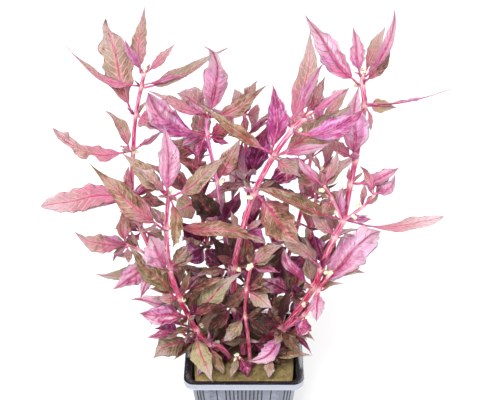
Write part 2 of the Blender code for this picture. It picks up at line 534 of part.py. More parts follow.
class Growth:
    """A stem or a branch, kept open to edit while leaves and flower heads are drawn out of its sides."""

    def __init__(self, name, knots, radius, planted):
        self.name = name
        self.bare = 2 if planted else 1
        self.line = stem_line(knots, planted)
        count = len(self.line) - 1
        taper = [1 - (1 - TIP_TAPER) * index / count for index in range(count + 1)]
        swell = [NODE_SWELL if index % 2 == 0 and index >= 2 * self.bare else 1 for index in range(count + 1)]
        self.radii = [radius * MM * thin * wide for thin, wide in zip(taper, swell)]
        self.radii[0] = radius * MM * (FOOT_SWELL if planted else 1)
        way = (self.line[-1] - self.line[-2]).normalized()
        shoulder = self.line[-1] + way * SHOULDER_RISE * self.radii[-1]
        tip = shoulder + way * self.radii[-1]
        self.bm = bmesh.new()
        self.rings = loft(self.bm, tube_rings(self.line + [shoulder], self.radii + [self.radii[-1] * SHOULDER_NARROW]), tip)
        self.free = {}
        for number in range(1, len(knots) - self.bare + 1):
            self.free[number] = self.sides_at(self.index(number))

    def index(self, number):
        return 2 * (number - 1 + self.bare)

    def sides_at(self, index):
        """The flat sides that meet a ring, each with where a stalk leaves it."""
        sides = []
        for edge in loop_edges(self.bm, self.rings[index]):
            middle = (edge.verts[0].co + edge.verts[1].co) / 2
            for face in edge.link_faces:
                inward = face.calc_center_median() - middle
                step = min(SIDE_STEP, SIDE_REACH * inward.length)
                half = min(STALK_HALF, SIDE_FILL * edge.calc_length() / 2, STALK_REACH * step)
                sides.append(Side(face, middle + inward.normalized() * step, edge.verts[0].co - middle, inward, half))
        return sides

    def node(self, number):
        """The place, direction and thickness of a leaf node, counted from 1 at the foot."""
        index = self.index(number)
        before = self.line[index - 1]
        after = self.line[min(index + 1, len(self.line) - 1)]
        return self.line[index], (after - before).normalized(), self.radii[index]

    def best_side(self, number, target):
        """The free side that faces a point best."""
        def facing(side):
            return side.face.normal.dot((target - side.place).normalized())
        free = self.free[number]
        return max(free, key=facing) if free else None

    def open_side(self, number, side):
        """Insets a side to the size of a stalk and opens it. Returns the corners, as seen from outside."""
        self.free[number].remove(side)
        bmesh.ops.inset_individual(self.bm, faces=[side.face], thickness=side.half / 4)
        out = side.face.normal
        center = side.face.calc_center_median()
        wide = side.wide.normalized()
        tall = (side.tall - side.tall.project(wide)).normalized()
        ring = list(side.face.verts)
        for vert in ring:
            off = vert.co - center
            # Signs in the side's own slanted grid, as a side of a bent stem is no rectangle
            along = off.dot(out.cross(side.tall)) / side.wide.dot(out.cross(side.tall))
            up = off.dot(out.cross(side.wide)) / side.tall.dot(out.cross(side.wide))
            vert.co = side.place + side.half * (math.copysign(1, along) * wide + math.copysign(1, up) * tall)
        bmesh.ops.delete(self.bm, geom=[side.face], context="FACES_ONLY")
        return ring

    def add_leaf(self, number, form, side):
        """Draws a small leaf out of a side of the stem."""
        sections, tip = leaf_rings(form, SMALL_SECTIONS, 0)
        ring = self.open_side(number, side)
        center = side.place
        first = sections[1]
        middle = sum(first, Vector()) / 4
        # Anticlockwise from outside a section runs left, underside, right, top
        order = (0, 3, 2, 1)

        def twist(turn):
            return sum((ring[k].co - center).normalized().dot((first[order[(k + turn) % 4]] - middle).normalized())
                       for k in range(4))
        turn = max(range(4), key=twist)
        for section in sections[1:]:
            fresh = next_ring(self.bm, ring)
            for k, vert in enumerate(fresh):
                vert.co = section[order[(k + turn) % 4]]
            for k in (0, 1, 2, 3):
                if order[(k + turn) % 4] in (0, 2):
                    bmesh.ops.connect_verts(self.bm, verts=[ring[k], fresh[(k + 1) % 4]])
                    bmesh.ops.connect_verts(self.bm, verts=[ring[k], fresh[k - 1]])
            ring = fresh
        bmesh.ops.pointmerge(self.bm, verts=next_ring(self.bm, ring), merge_co=tip)

    def add_flower(self, number, side):
        """Draws a small round head out of a side of the stem."""
        out = side.face.normal.copy()
        ring = self.open_side(number, side)
        spokes = [(vert.co - side.place).normalized() for vert in ring]
        for rise, size in FLOWER_RINGS:
            ring = next_ring(self.bm, ring)
            for vert, spoke in zip(ring, spokes):
                vert.co = side.place + FLOWER_RADIUS * (rise * out + size * spoke)
        bmesh.ops.contextual_create(self.bm, geom=loop_edges(self.bm, ring))


def grow_stems():
    growths = {}
    for name, stem in STEMS.items():
        x, y = (c * MM for c in stem.foot)
        in_wool = [Vector((x, y, WOOL_TOP - PLANTING_DEPTH)), Vector((x, y, WOOL_TOP + STRAIGHT_FOOT))]
        growths[name] = Growth(name, in_wool + [sighted(*node) for node in stem.nodes], stem.radius, True)
    for name, branch in BRANCHES.items():
        nodes = [sighted(*node) for node in branch.nodes]
        start, axis, radius = growths[branch.parent].node(branch.node)
        away = nodes[0] - start
        away = (away - away.project(axis)).normalized()
        foot = start + away * (radius + branch.radius * MM + GAP)
        growths[name] = Growth(name, [foot] + nodes, branch.radius, False)
    return growths


# Leaves
LeafForm = namedtuple("LeafForm", "base tip width face bow swing")


def blade_half(share, width):
    """Half the width of a leaf at a share of its length: a stalk, then a blade that is widest below its middle."""
    if share <= STALK_SHARE:
        return STALK_HALF
    v = (share - STALK_SHARE) / (1 - STALK_SHARE)
    widest = BLADE_BASE_POWER / (BLADE_BASE_POWER + BLADE_TIP_POWER)
    peak = widest ** BLADE_BASE_POWER * (1 - widest) ** BLADE_TIP_POWER
    return max(width / 2 * v ** BLADE_BASE_POWER * (1 - v) ** BLADE_TIP_POWER / peak, STALK_HALF)


def leaf_rings(form, sections, grown):
    """Sections of a leaf, each with a left edge, the top of the midrib, a right edge and its underside."""
    run = form.tip - form.base
    toward = (EYE - form.base).normalized()
    upper = Vector((0, 0, 1)).lerp(toward * math.copysign(1, form.face), abs(form.face))
    upper = (upper - upper.project(run)).normalized()
    left = toward.cross(run).normalized()
    control = form.base.lerp(form.tip, 0.5) + 2 * run.length * (upper * form.bow + left * form.swing)
    rings = []
    for share in sections:
        near = form.base.lerp(control, share)
        far = control.lerp(form.tip, share)
        point = near.lerp(far, share)
        along = (far - near).normalized()
        raised = (upper - upper.project(along)).normalized()
        side = raised.cross(along)
        half = blade_half(share, form.width) + grown
        fold = raised * (KEEL * (half - STALK_HALF))
        thick = raised * ((STALK_THICK + (BLADE_THICK - STALK_THICK) * share) / 2 + grown)
        rings.append([point - side * half + fold, point + thick, point + side * half + fold, point - thick])
    return rings, form.tip + along * grown


def leaf_solid(form, sections, grown=0.0):
    bm = bmesh.new()
    rings, tip = leaf_rings(form, sections, grown)
    made = loft(bm, rings, tip)
    for lower, upper in zip(made, made[1:]):
        for edge in (0, 2):
            for midrib in (1, 3):
                bmesh.ops.connect_verts(bm, verts=[lower[edge], upper[midrib]])
    return bm


def leaf_start(node, tip):
    """Where a leaf that is a piece of its own starts: just off the stem."""
    place, axis, radius = node
    run = tip - place
    away = (run - run.project(axis)).normalized()
    lean = abs(run.normalized().dot(axis))
    return place + away * (radius + START_GAP + STALK_THICK / 2 * lean)


class Thicket:
    """What has its place already, so that each new piece can be set clear of it."""

    def __init__(self):
        self.trees = []

    def add(self, bm, stem=None):
        self.trees.append((stem, BVHTree.FromBMesh(bm)))

    def clear(self, whole, blade, stem):
        """A piece's stalk may touch the stem that it grows from. Nothing else may touch."""
        for other, tree in self.trees:
            if stem and other == stem:
                if blade and blade.overlap(tree):
                    return False
            elif whole.overlap(tree):
                return False
        return True


def is_clear(thicket, form, sections, stem):
    grown = leaf_solid(form, sections, GAP)
    blade = leaf_solid(form, sections[1:], 0)
    found = thicket.clear(BVHTree.FromBMesh(grown), BVHTree.FromBMesh(blade), stem)
    grown.free()
    blade.free()
    return found


def depths(growth, leaf):
    """Tips for a listed leaf: as listed, then nearer or further along the same line of sight."""
    depth = growth.node(leaf.node)[0].y / MM + leaf.reach
    for bend in BEND_TRIES:
        for shift in DEPTH_TRIES:
            yield sighted(leaf.across, leaf.up, depth + shift), bend


def headings(growth, pair, turn):
    """Tips for a leaf of a pair: at its heading, then turned and raised step by step."""
    for lift in LIFT_TRIES:
        for swerve in TURN_TRIES:
            level = math.radians(pair.heading + turn + swerve)
            slope = math.radians(pair.rise + lift)
            way = Vector((math.cos(level) * math.cos(slope), math.sin(level) * math.cos(slope), math.sin(slope)))
            yield growth.node(pair.node)[0] + way * (pair.length * MM), 0.0


def make_leaf(thicket, growth, name, leaf, material):
    """A leaf that is a piece of its own."""
    node = growth.node(leaf.node)
    for tip, bend in depths(growth, leaf):
        form = LeafForm(leaf_start(node, tip), tip, leaf.width * MM, leaf.face, leaf.bow + bend, leaf.swing)
        if is_clear(thicket, form, SECTIONS, None):
            bm = leaf_solid(form, SECTIONS)
            thicket.add(bm)
            return new_object(name, bm, material)
    print("no room for", name)


def draw_small_leaf(thicket, growth, number, tips, width, face, bow, swing):
    """A leaf in one piece with its stem."""
    for tip, bend in tips:
        side = growth.best_side(number, tip)
        if side is None:
            break
        form = LeafForm(side.place, tip, width * MM, face, bow + bend, swing)
        if is_clear(thicket, form, SMALL_SECTIONS, growth.name):
            bm = leaf_solid(form, SMALL_SECTIONS)
            thicket.add(bm)
            bm.free()
            growth.add_leaf(number, form, side)
            return
    print("no room for a small leaf on", growth.name, number, "width", width)


def draw_flower(thicket, growth, number, to_left):
    """A small head in a leaf axil, on the left or right of the stem as the viewer sees it."""
    place, axis, radius = growth.node(number)
    toward = (EYE - place).normalized()
    aside = axis.cross(toward) * (1 if to_left else -1)
    for turn in FLOWER_TRIES:
        way = aside * math.cos(turn) + toward * math.sin(turn)
        side = growth.best_side(number, place + way)
        if side is None:
            break
        bm = bmesh.new()
        bmesh.ops.create_icosphere(bm, subdivisions=1, radius=FLOWER_ROOM * FLOWER_RADIUS)
        bmesh.ops.translate(bm, verts=bm.verts, vec=side.place + side.face.normal * FLOWER_RADIUS)
        if thicket.clear(BVHTree.FromBMesh(bm), None, growth.name):
            thicket.add(bm)
            growth.add_flower(number, side)
            bm.free()
            return
        bm.free()
    print("no room for a flower on", growth.name, number)


def main():
    for obj in list(bpy.data.objects):
        bpy.data.objects.remove(obj)

    pot_plastic = new_material("pot_plastic", (0.045, 0.05, 0.058), 0.3)
    wool_fibre = new_material("wool_fibre", (0.2, 0.15, 0.06), 0.95)
    stem_skin = new_material("stem_skin", (0.6, 0.07, 0.2), 0.45)
    leaf_upper = new_material("leaf_upper", (0.28, 0.19, 0.11), 0.5)
    leaf_under = new_material("leaf_under", (0.62, 0.11, 0.33), 0.5)

    thicket = Thicket()
    for obj in (make_pot(pot_plastic), make_wool(wool_fibre)):
        bm = bmesh.new()
        bm.from_mesh(obj.data)
        thicket.add(bm)
        bm.free()

    growths = grow_stems()
    for name, growth in growths.items():
        thicket.add(growth.bm, name)

    count = {name: 0 for name in growths}
    for leaf in LEAVES:
        count[leaf.stem] += 1
        name = f"leaf_{leaf.stem}_{count[leaf.stem]}"
        make_leaf(thicket, growths[leaf.stem], name, leaf, leaf_under if leaf.face < 0 else leaf_upper)
    for leaf in SMALL_LEAVES:
        growth = growths[leaf.stem]
        draw_small_leaf(thicket, growth, leaf.node, depths(growth, leaf), leaf.width, leaf.face, leaf.bow, leaf.swing)
    for pair in PAIRS:
        growth = growths[pair.stem]
        for turn in (0, SECOND_LEAF_TURN):
            draw_small_leaf(thicket, growth, pair.node, headings(growth, pair, turn), pair.width, 0.0, PAIR_BOW, 0.0)
    for name, plan in (STEMS | BRANCHES).items():
        for place, number in enumerate(plan.flowers):
            draw_flower(thicket, growths[name], number, number % 2 == (place and plan.flowers[place - 1] == number))

    for name, growth in growths.items():
        bmesh.ops.recalc_face_normals(growth.bm, faces=growth.bm.faces)
        new_object(f"stem_{name}", growth.bm, stem_skin, math.radians(60))


main()
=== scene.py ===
# %% [markdown]
# # A red-leaved aquarium plant in its pot
#
# Alternanthera reineckii, grown above water: pink stems with pointed leaves in pairs, olive with pink veins
# on the upper side and magenta underneath, planted in rock wool in a square black pot. The solid model
# holds every stem and every larger leaf as a plain faceted form. This script reads those forms back, one by
# one, and models the real surface on each of them, so that no leaf has to be placed a second time.

# %% Load the solid model
import json
import math
import random
from collections import namedtuple
from types import SimpleNamespace

import bmesh
import bpy
from mathutils import Matrix, Vector, noise
from mathutils.bvhtree import BVHTree

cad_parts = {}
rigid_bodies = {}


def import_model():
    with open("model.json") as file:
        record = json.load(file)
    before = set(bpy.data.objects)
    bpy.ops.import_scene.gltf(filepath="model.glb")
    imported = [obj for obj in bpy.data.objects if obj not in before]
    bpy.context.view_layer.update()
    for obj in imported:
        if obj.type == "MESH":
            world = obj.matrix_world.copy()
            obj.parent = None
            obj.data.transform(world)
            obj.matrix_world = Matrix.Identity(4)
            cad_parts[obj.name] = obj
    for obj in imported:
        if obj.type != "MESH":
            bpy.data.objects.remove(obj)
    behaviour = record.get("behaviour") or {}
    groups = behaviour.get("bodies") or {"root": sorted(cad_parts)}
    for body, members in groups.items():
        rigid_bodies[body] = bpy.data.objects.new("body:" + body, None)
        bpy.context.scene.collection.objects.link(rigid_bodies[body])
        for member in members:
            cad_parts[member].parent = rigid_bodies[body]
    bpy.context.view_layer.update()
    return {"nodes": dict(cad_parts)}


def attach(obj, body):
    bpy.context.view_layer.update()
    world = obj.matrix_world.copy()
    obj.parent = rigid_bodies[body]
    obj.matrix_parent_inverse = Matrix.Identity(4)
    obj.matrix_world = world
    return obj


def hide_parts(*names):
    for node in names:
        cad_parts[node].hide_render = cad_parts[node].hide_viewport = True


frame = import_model()
MM = 0.001
print("solid model:", len(frame["nodes"]), "nodes")

# %% [markdown]
# ## The viewer
#
# The plant was laid out by sighting from one point, 32 degrees above the pot's rim. A place is written as
# millimetres across and up a sheet that stands in the pot's mouth and faces that point, with the depth
# behind the pot's middle. The same three numbers place the stems here, and the same point holds the camera,
# so what was laid out side by side is seen side by side.

# %% The sighting sheet
POT_HEIGHT = 80 * MM
VIEW_RISE = math.radians(32)
EYE_DISTANCE = 880 * MM
AIM_ACROSS = 4.7 * MM
AIM_UP = 115.3 * MM
SHEET_UP = Vector((0, math.sin(VIEW_RISE), math.cos(VIEW_RISE)))
SHEET_OUT = Vector((0, -math.cos(VIEW_RISE), math.sin(VIEW_RISE)))
SHEET_FOOT = Vector((0, 0, POT_HEIGHT))
EYE = SHEET_FOOT + Vector((AIM_ACROSS, 0, 0)) + SHEET_UP * AIM_UP + SHEET_OUT * EYE_DISTANCE


def sighted(across, up, back):
    """The point `back` behind the pot's middle that is seen over a point of the sheet, in millimetres."""
    on_sheet = SHEET_FOOT + Vector((across * MM, 0, 0)) + SHEET_UP * (up * MM)
    ray = EYE - on_sheet
    return on_sheet + ray * ((back * MM - on_sheet.y) / ray.y)


print("eye at", [round(c / MM) for c in EYE], "mm from the middle of the pot's underside")

# %% The camera
SHEET_SEEN = 395 * MM


def put(name, data):
    """A new object in the scene."""
    made = bpy.data.objects.new(name, data)
    bpy.context.scene.collection.objects.link(made)
    return made


def aim(thing, place, way):
    """Moves a camera or a lamp to a place and points it along a way."""
    thing.location = place
    thing.rotation_euler = way.to_track_quat("-Z", "Y").to_euler()


camera_data = bpy.data.cameras.new("camera")
camera_data.lens = camera_data.sensor_width * EYE_DISTANCE / SHEET_SEEN
camera = put("camera", camera_data)
aim(camera, EYE, -SHEET_OUT)
bpy.context.scene.camera = camera
print("camera lens", round(camera_data.lens, 1), "mm")

# %% [markdown]
# ## Reading the leaves back from the solids
#
# Each leaf of the solid model is a row of four-cornered sections that ends in a point. So a leaf's tip is a
# corner with just four neighbours, all of them far away, and stepping from neighbours to their neighbours
# gives one section after another down to the stalk. The middle section gives the width, the curve and which
# side is the upper one, because its two halves fold towards the upper side. The leaves could be listed here
# by hand instead, but then a change of the solids would leave this list behind.

# %% Sections of a leaf, from the tip to the stalk
WELD = 0.001 * MM
TIP_REACH = 4.5 * MM
SECTION_CORNERS = 4


def welded(node):
    """A copy of a node's mesh whose loose triangles share their corners."""
    bm = bmesh.new()
    bm.from_mesh(frame["nodes"][node].data)
    bmesh.ops.remove_doubles(bm, verts=bm.verts, dist=WELD)
    return bm


def neighbours(vert):
    return {edge.other_vert(vert) for edge in vert.link_edges}


def sections_from(tip, count):
    """The sections behind a leaf's tip, or None where this corner is no leaf's tip."""
    ring = neighbours(tip)
    if len(ring) != SECTION_CORNERS or min((v.co - tip.co).length for v in ring) < TIP_REACH:
        return None
    rings = [ring]
    seen = ring | {tip}
    while len(rings) < count:
        ring = {n for v in rings[-1] for n in neighbours(v)} - seen
        if len(ring) != SECTION_CORNERS:
            return None
        rings.append(ring)
        seen |= ring
    return rings


stem_nodes = sorted(n for n in frame["nodes"] if n.startswith("stem_"))
leaf_nodes = sorted(n for n in frame["nodes"] if n.startswith("leaf_"))
print("nodes of stems", len(stem_nodes), "and of single leaves", len(leaf_nodes))

# %% The leaves of a node
# A leaf's seed comes from the place of its tip, so each leaf keeps its own character in every run
Leaf = namedtuple("Leaf", "base control tip width upper seed node")
SEED_STEPS = 1e5
SEED_BY_X = 7
SEED_BY_Z = 13
LARGE_SECTIONS = 5
SMALL_SECTIONS = 3
LARGE_MIDDLE = 1
SMALL_MIDDLE = 0


def in_order(ring):
    """The corners sorted by place, so that sums over them come out the same on each run."""
    return sorted(ring, key=lambda vert: vert.co[:])


def middle_of(ring):
    return sum((v.co for v in in_order(ring)), Vector()) / len(ring)


def read_leaf(node, tip, rings, middle_index):
    """A leaf's curve, width and upper side from its sections."""
    base = middle_of(rings[-1])
    ring = in_order(rings[middle_index])
    pairs = [(a, b) for i, a in enumerate(ring) for b in ring[i + 1:]]
    edge_a, edge_b = max(pairs, key=lambda pair: (pair[0].co - pair[1].co).length)
    midrib = middle_of([v for v in ring if v not in (edge_a, edge_b)])
    fold = (edge_a.co + edge_b.co) / 2 - midrib
    control = 2 * midrib - (base + tip.co) / 2
    seed = round(tip.co.x * SEED_STEPS) * SEED_BY_X + round(tip.co.z * SEED_STEPS) * SEED_BY_Z
    return Leaf(base, control, tip.co.copy(), (edge_a.co - edge_b.co).length, fold.normalized(), seed, node)


def leaves_of(node, count, middle_index):
    """Every leaf of a node, and the corners that belong to no leaf."""
    bm = welded(node)
    found = []
    used = set()
    for vert in bm.verts:
        rings = sections_from(vert, count)
        if rings:
            found.append(read_leaf(node, vert, rings, middle_index))
            used |= {vert}.union(*rings)
    others = [v.co.copy() for v in bm.verts if v not in used]
    bm.free()
    found.sort(key=lambda leaf: leaf.seed)
    return found, others


large_leaves = {n: leaves_of(n, LARGE_SECTIONS, LARGE_MIDDLE)[0] for n in leaf_nodes}
small_leaves = {}
other_corners = {}
for node in stem_nodes:
    small_leaves[node], other_corners[node] = leaves_of(node, SMALL_SECTIONS, SMALL_MIDDLE)
print("large leaves", sum(map(len, large_leaves.values())), "of", len(leaf_nodes))
print("small leaves", sum(map(len, small_leaves.values())))

# %% [markdown]
# ## The stems' lines
#
# The stems are laid out here: each has a foot on the rock wool and a row of leaf nodes, sighted one by
# one. The same list made the solid model, so a tube drawn along these lines fits it exactly. Reading a
# smooth line back from the facets would be less exact than giving it again. Between two nodes the line
# swings a little, as a stem does that has turned towards the light.

# %% Stems, side branches and their nodes
# Places and radii in millimetres: a stem's foot on the wool, then its nodes as across, up and back
Stem = namedtuple("Stem", "foot radius nodes")
Branch = namedtuple("Branch", "parent node radius nodes")

STEMS = {
    "tall_left": Stem((-9, 8), 2.1, (
        (-50, 42, 2), (-69, 68, 2), (-80.5, 91, 6), (-88, 118, 10), (-87.5, 154, 16), (-85.5, 183, 22),
        (-81, 205, 26), (-79, 215, 28))),
    "left_front": Stem((-12, -12), 2.4, (
        (-27, 2, -22), (-38, 13, -27), (-44, 24, -31), (-51, 38, -35), (-58.5, 61, -40), (-61.5, 93, -44),
        (-59.5, 119, -46))),
    "center_back": Stem((-4, 12), 2.1, (
        (-10, 35, 11), (-12, 62, 12), (-16.5, 96, 15), (-21.5, 130, 18), (-29.5, 168, 22), (-29, 181, 24))),
    "center": Stem((0, -8), 2.6, (
        (-7.5, 31, -16), (-7.5, 63, -22), (-2, 89, -27), (8, 121, -32), (24, 151, -36), (38.5, 171, -38),
        (48, 180, -38))),
    "right": Stem((11, 0), 2.7, (
        (30.5, 14, -12), (55.5, 47, -26), (61, 62, -28), (72, 87, -30), (78.5, 100, -30), (84, 128, -26),
        (88, 147, -22), (95, 190, -10), (93.5, 207, -6), (94, 214, -5))),
    "back_left": Stem((-14, 24), 2.0, (
        (-22, 45, 34), (-29, 80, 44), (-35, 115, 52), (-37, 150, 57), (-34, 182, 60))),
    "back_middle": Stem((3, 26), 2.0, ((2, 50, 38), (4, 90, 48), (3, 130, 56), (1, 165, 60), (0, 184, 62))),
    "back_right": Stem((18, 20), 2.0, (
        (26, 45, 32), (38, 80, 42), (47, 115, 50), (53, 150, 56), (58, 174, 58))),
    "inner_right": Stem((22, 6), 1.9, ((38, 40, 6), (50, 75, 0), (53, 92, 0), (57, 116, 2), (61, 138, 4))),
    "low_center": Stem((5, -20), 1.6, ((1, 24, -30), (2, 45, -36), (5.5, 63, -40))),
    "low_front": Stem((-16, -3), 1.5, ((-20.5, 2, -9),)),
    "low_left": Stem((-27, 4), 1.6, ((-40, 5, -4), (-50, 11, -12))),
    "low_middle": Stem((2, -24), 1.4, ((-4, -9, -25),)),
    "low_right": Stem((19, -19), 1.4, ((20, -9, -23),)),
}
BRANCHES = {
    "right_fork": Branch("right", 1, 1.7, ((48, 25, -26), (59, 44, -32), (67, 56, -34))),
    "far_right_shoot": Branch("right", 5, 1.2, ((94, 110, -44), (103, 119, -48))),
    "upper_right_shoot": Branch("right", 5, 1.3, ((69, 117, -42), (63, 127, -46))),
    "left_shoot": Branch("tall_left", 2, 1.3, ((-83, 76, -6), (-93, 80, -10))),
}
print("nodes laid out:", sum(len(s.nodes) for s in [*STEMS.values(), *BRANCHES.values()]))

# %% A stem's centre line
TIP_TAPER = 0.62
CAD_NODE_SWELL = 1.3
SWING = 1 / 8


def kept_in(value):
    """A value held between 0 and 1."""
    return min(max(value, 0), 1)


def stem_line(knots, planted):
    """A stem's knots with a point between each two, on a smooth curve. A planted stem starts straight up."""
    ways = []
    for index in range(len(knots)):
        before = knots[max(index - 1, 0)]
        after = knots[min(index + 1, len(knots) - 1)]
        ways.append((after - before).normalized())
    if planted:
        ways[1] = ways[0]
    line = []
    for index in range(len(knots) - 1):
        here, there = knots[index], knots[index + 1]
        swerve = (ways[index] - ways[index + 1]) * ((there - here).length * SWING)
        line += [here, here.lerp(there, 0.5) + swerve]
    return line + [knots[-1]]


class StemLine:
    """A stem's centre line and radius, which of its points are leaf nodes, and how lilac its skin is."""

    def __init__(self, knots, radius, planted):
        self.planted = planted
        self.bare = 2 if planted else 1
        self.points = stem_line(knots, planted)
        self.radius = radius * MM
        self.lilac = 0.0

    def thin(self, index):
        """The radius at a point of the line, without the swelling of a node."""
        return self.radius * (1 - (1 - TIP_TAPER) * index / (len(self.points) - 1))

    def is_node(self, index):
        return index % 2 == 0 and index >= 2 * self.bare

    def node(self, number):
        """The place of a leaf node, the stem's direction there and the solid's radius there."""
        index = 2 * (number - 1 + self.bare)
        after = self.points[min(index + 1, len(self.points) - 1)]
        axis = (after - self.points[index - 1]).normalized()
        return self.points[index], axis, self.thin(index) * CAD_NODE_SWELL

    def nearest(self, place):
        """The closest point of the line, and the radius there."""
        best = None
        for index in range(len(self.points) - 1):
            start, end = self.points[index], self.points[index + 1]
            share = kept_in((place - start).dot(end - start) / (end - start).length_squared)
            point = start.lerp(end, share)
            if best is None or (place - point).length < (place - best[0]).length:
                best = (point, self.thin(index + share))
        return best


print("at its tip a stem keeps", TIP_TAPER, "of its radius")

# %% Draw the lines
WOOL_TOP = 77 * MM
PLANTING_DEPTH = 9 * MM
STRAIGHT_FOOT = 2 * MM
BRANCH_START = 0.4
LILAC_STEMS = ("center_back",)

lines = {}
for name, stem in STEMS.items():
    x, y = (c * MM for c in stem.foot)
    foot = [Vector((x, y, WOOL_TOP - PLANTING_DEPTH)), Vector((x, y, WOOL_TOP + STRAIGHT_FOOT))]
    lines[name] = StemLine(foot + [sighted(*node) for node in stem.nodes], stem.radius, True)
for name, branch in BRANCHES.items():
    nodes = [sighted(*node) for node in branch.nodes]
    start, axis, radius = lines[branch.parent].node(branch.node)
    away = nodes[0] - start
    away = (away - away.project(axis)).normalized()
    lines[name] = StemLine([start + away * (radius * BRANCH_START)] + nodes, branch.radius, False)
for name in LILAC_STEMS:
    lines[name].lilac = 1.0
print("stems and branches:", len(lines))

# %% [markdown]
# ## Drawing shader nodes
#
# Every finish below is a Principled shader fed by a few patterns. Written out, each node would take a line
# to make and another for each link. A small helper adds nodes and links them, so that each recipe reads as
# what is mixed with what. Colours are given as the 0 to 255 values that a picture program shows.

# %% A helper for materials
SHADY_MIDDLE = (0.0, 0.02, 0.14)
SHADE_REACH = (0.12, 0.10, 0.16)


def rgb(red, green, blue):
    """A colour as the shader wants it, from the 0 to 255 values of a picture."""
    def linear(value):
        value /= 255
        return value / 12.92 if value <= 0.04045 else ((value + 0.055) / 1.055) ** 2.4
    return linear(red), linear(green), linear(blue), 1.0


class Recipe:
    """A new material with a Principled shader, and short calls that add nodes in front of it."""

    def __init__(self, name):
        self.material = bpy.data.materials.new(name)
        self.material.use_nodes = True
        self.tree = self.material.node_tree
        self.shader = self.tree.nodes["Principled BSDF"]

    def feed(self, socket, value):
        """Links another node's output to a socket, or sets the socket to a constant."""
        if isinstance(value, bpy.types.NodeSocket):
            self.tree.links.new(value, socket)
        else:
            socket.default_value = value

    def add(self, kind, inputs=None, **settings):
        node = self.tree.nodes.new("ShaderNode" + kind)
        for key, value in settings.items():
            setattr(node, key, value)
        for key, value in (inputs or {}).items():
            self.feed(node.inputs[key], value)
        return node

    def calculate(self, operation, *values):
        return self.add("Math", dict(enumerate(values)), operation=operation).outputs[0]

    def chain(self, operation, first, *others):
        for other in others:
            first = self.calculate(operation, first, other)
        return first

    def plus(self, *values):
        return self.chain("ADD", *values)

    def times(self, *values):
        return self.chain("MULTIPLY", *values)

    def most(self, *values):
        return self.chain("MAXIMUM", *values)

    def minus(self, first, second):
        return self.calculate("SUBTRACT", first, second)

    def scaled(self, value, factor, offset):
        return self.calculate("MULTIPLY_ADD", value, factor, offset)

    def swung(self, value, reach):
        """A pattern from 0 to 1 made to swing about nought, as far as half its reach each way."""
        return self.scaled(value, reach, -reach / 2)

    def step(self, value, low, high, to_low=0.0, to_high=1.0):
        """A soft step from one value to another."""
        inputs = {"Value": value, "From Min": low, "From Max": high, "To Min": to_low, "To Max": to_high}
        return self.add("MapRange", inputs, interpolation_type="SMOOTHSTEP").outputs[0]

    def blend(self, share, first, second):
        """A mix of two colours, each another node's output or the values of a picture."""
        node = self.add("Mix", {"Factor": share}, data_type="RGBA")
        for key, color in (("A", first), ("B", second)):
            self.feed(node.inputs[key], color if isinstance(color, bpy.types.NodeSocket) else rgb(*color))
        return node.outputs["Result"]

    def three(self, share, dark, middle, light):
        """A colour that runs from a shaded copy through a middle one to a lit one, as painted light."""
        first = self.blend(self.step(share, 0.0, 0.5), dark, middle)
        return self.blend(self.step(share, 0.5, 1.0), first, light)

    def layered(self, color, *layers):
        """A colour with others laid over it in turn, each in its own share."""
        for share, over in layers:
            color = self.blend(share, color, over)
        return color

    def place(self):
        return self.add("TexCoord").outputs["Object"]

    def apart(self, vector):
        """The three numbers of a vector."""
        node = self.add("SeparateXYZ", {"Vector": vector})
        return [node.outputs[axis] for axis in "XYZ"]

    def together(self, *values):
        """A vector of three numbers."""
        return self.add("CombineXYZ", dict(zip("XYZ", values))).outputs[0]

    def painted(self, name):
        """A value that the mesh carries on its corners."""
        return self.add("Attribute", attribute_name=name, attribute_type="GEOMETRY")

    def painted_light_by_place(self):
        """Painted light: how far a point lies from the bush's shady middle, from 0 to 1."""
        away = self.add("VectorMath", {0: self.place(), 1: SHADY_MIDDLE}, operation="SUBTRACT").outputs[0]
        away = self.add("VectorMath", {0: away, 1: SHADE_REACH}, operation="DIVIDE").outputs[0]
        far = self.add("VectorMath", {0: away}, operation="LENGTH").outputs["Value"]
        return self.step(far, 0.2, 1.1)

    def noise(self, scale, vector=None, detail=3.0, roughness=0.5):
        inputs = {"Vector": vector or self.place(), "Scale": scale, "Detail": detail, "Roughness": roughness}
        return self.add("TexNoise", inputs).outputs["Fac"]

    def bump(self, height, strength, distance):
        made = self.add("Bump", {"Height": height, "Strength": strength, "Distance": distance})
        self.feed(self.shader.inputs["Normal"], made.outputs["Normal"])

    def finish(self, color, roughness, **constants):
        self.feed(self.shader.inputs["Base Color"], color)
        self.feed(self.shader.inputs["Roughness"], roughness)
        for key, value in constants.items():
            self.shader.inputs[key.replace("_", " ")].default_value = value
        return self.material


print("shady middle of the bush:", SHADY_MIDDLE, "m")

# %% [markdown]
# ## Leaf finishes
#
# Each leaf carries a flat map, u across and v from stalk to tip, so the veins can be drawn by a formula:
# side veins leave the midrib in pairs, sweep towards the tip and run together along the margin. A painted
# picture of a leaf would look the same on every leaf, while a formula can differ. The upper side is grey
# olive between salmon veins, deeper pink at the stalk and paler at the tip, where the paleness is partly a
# painted highlight. The underside is magenta to lilac. Both darken towards the shady middle of the bush as
# painted shade, and each colour comes in a shaded, a middle and a lit copy, picked by painted light. Four
# numbers painted on each leaf say how pink, how pale and how golden it is, and shift the mottling; the
# paleness also raises the leaf's painted light. A fifth counts its veins.

# %% The pattern of a leaf
VEIN_SLANT = 1.9
SWEEP_POWER = 1.1
NET_SCALE = 700.0
CLOUD_SCALE = 110.0
BROAD_SCALE = 40.0
WITHERED = (112, 74, 50)
LEAF_GLOW = {"Subsurface_Weight": 0.06, "Subsurface_Scale": 2 * MM}


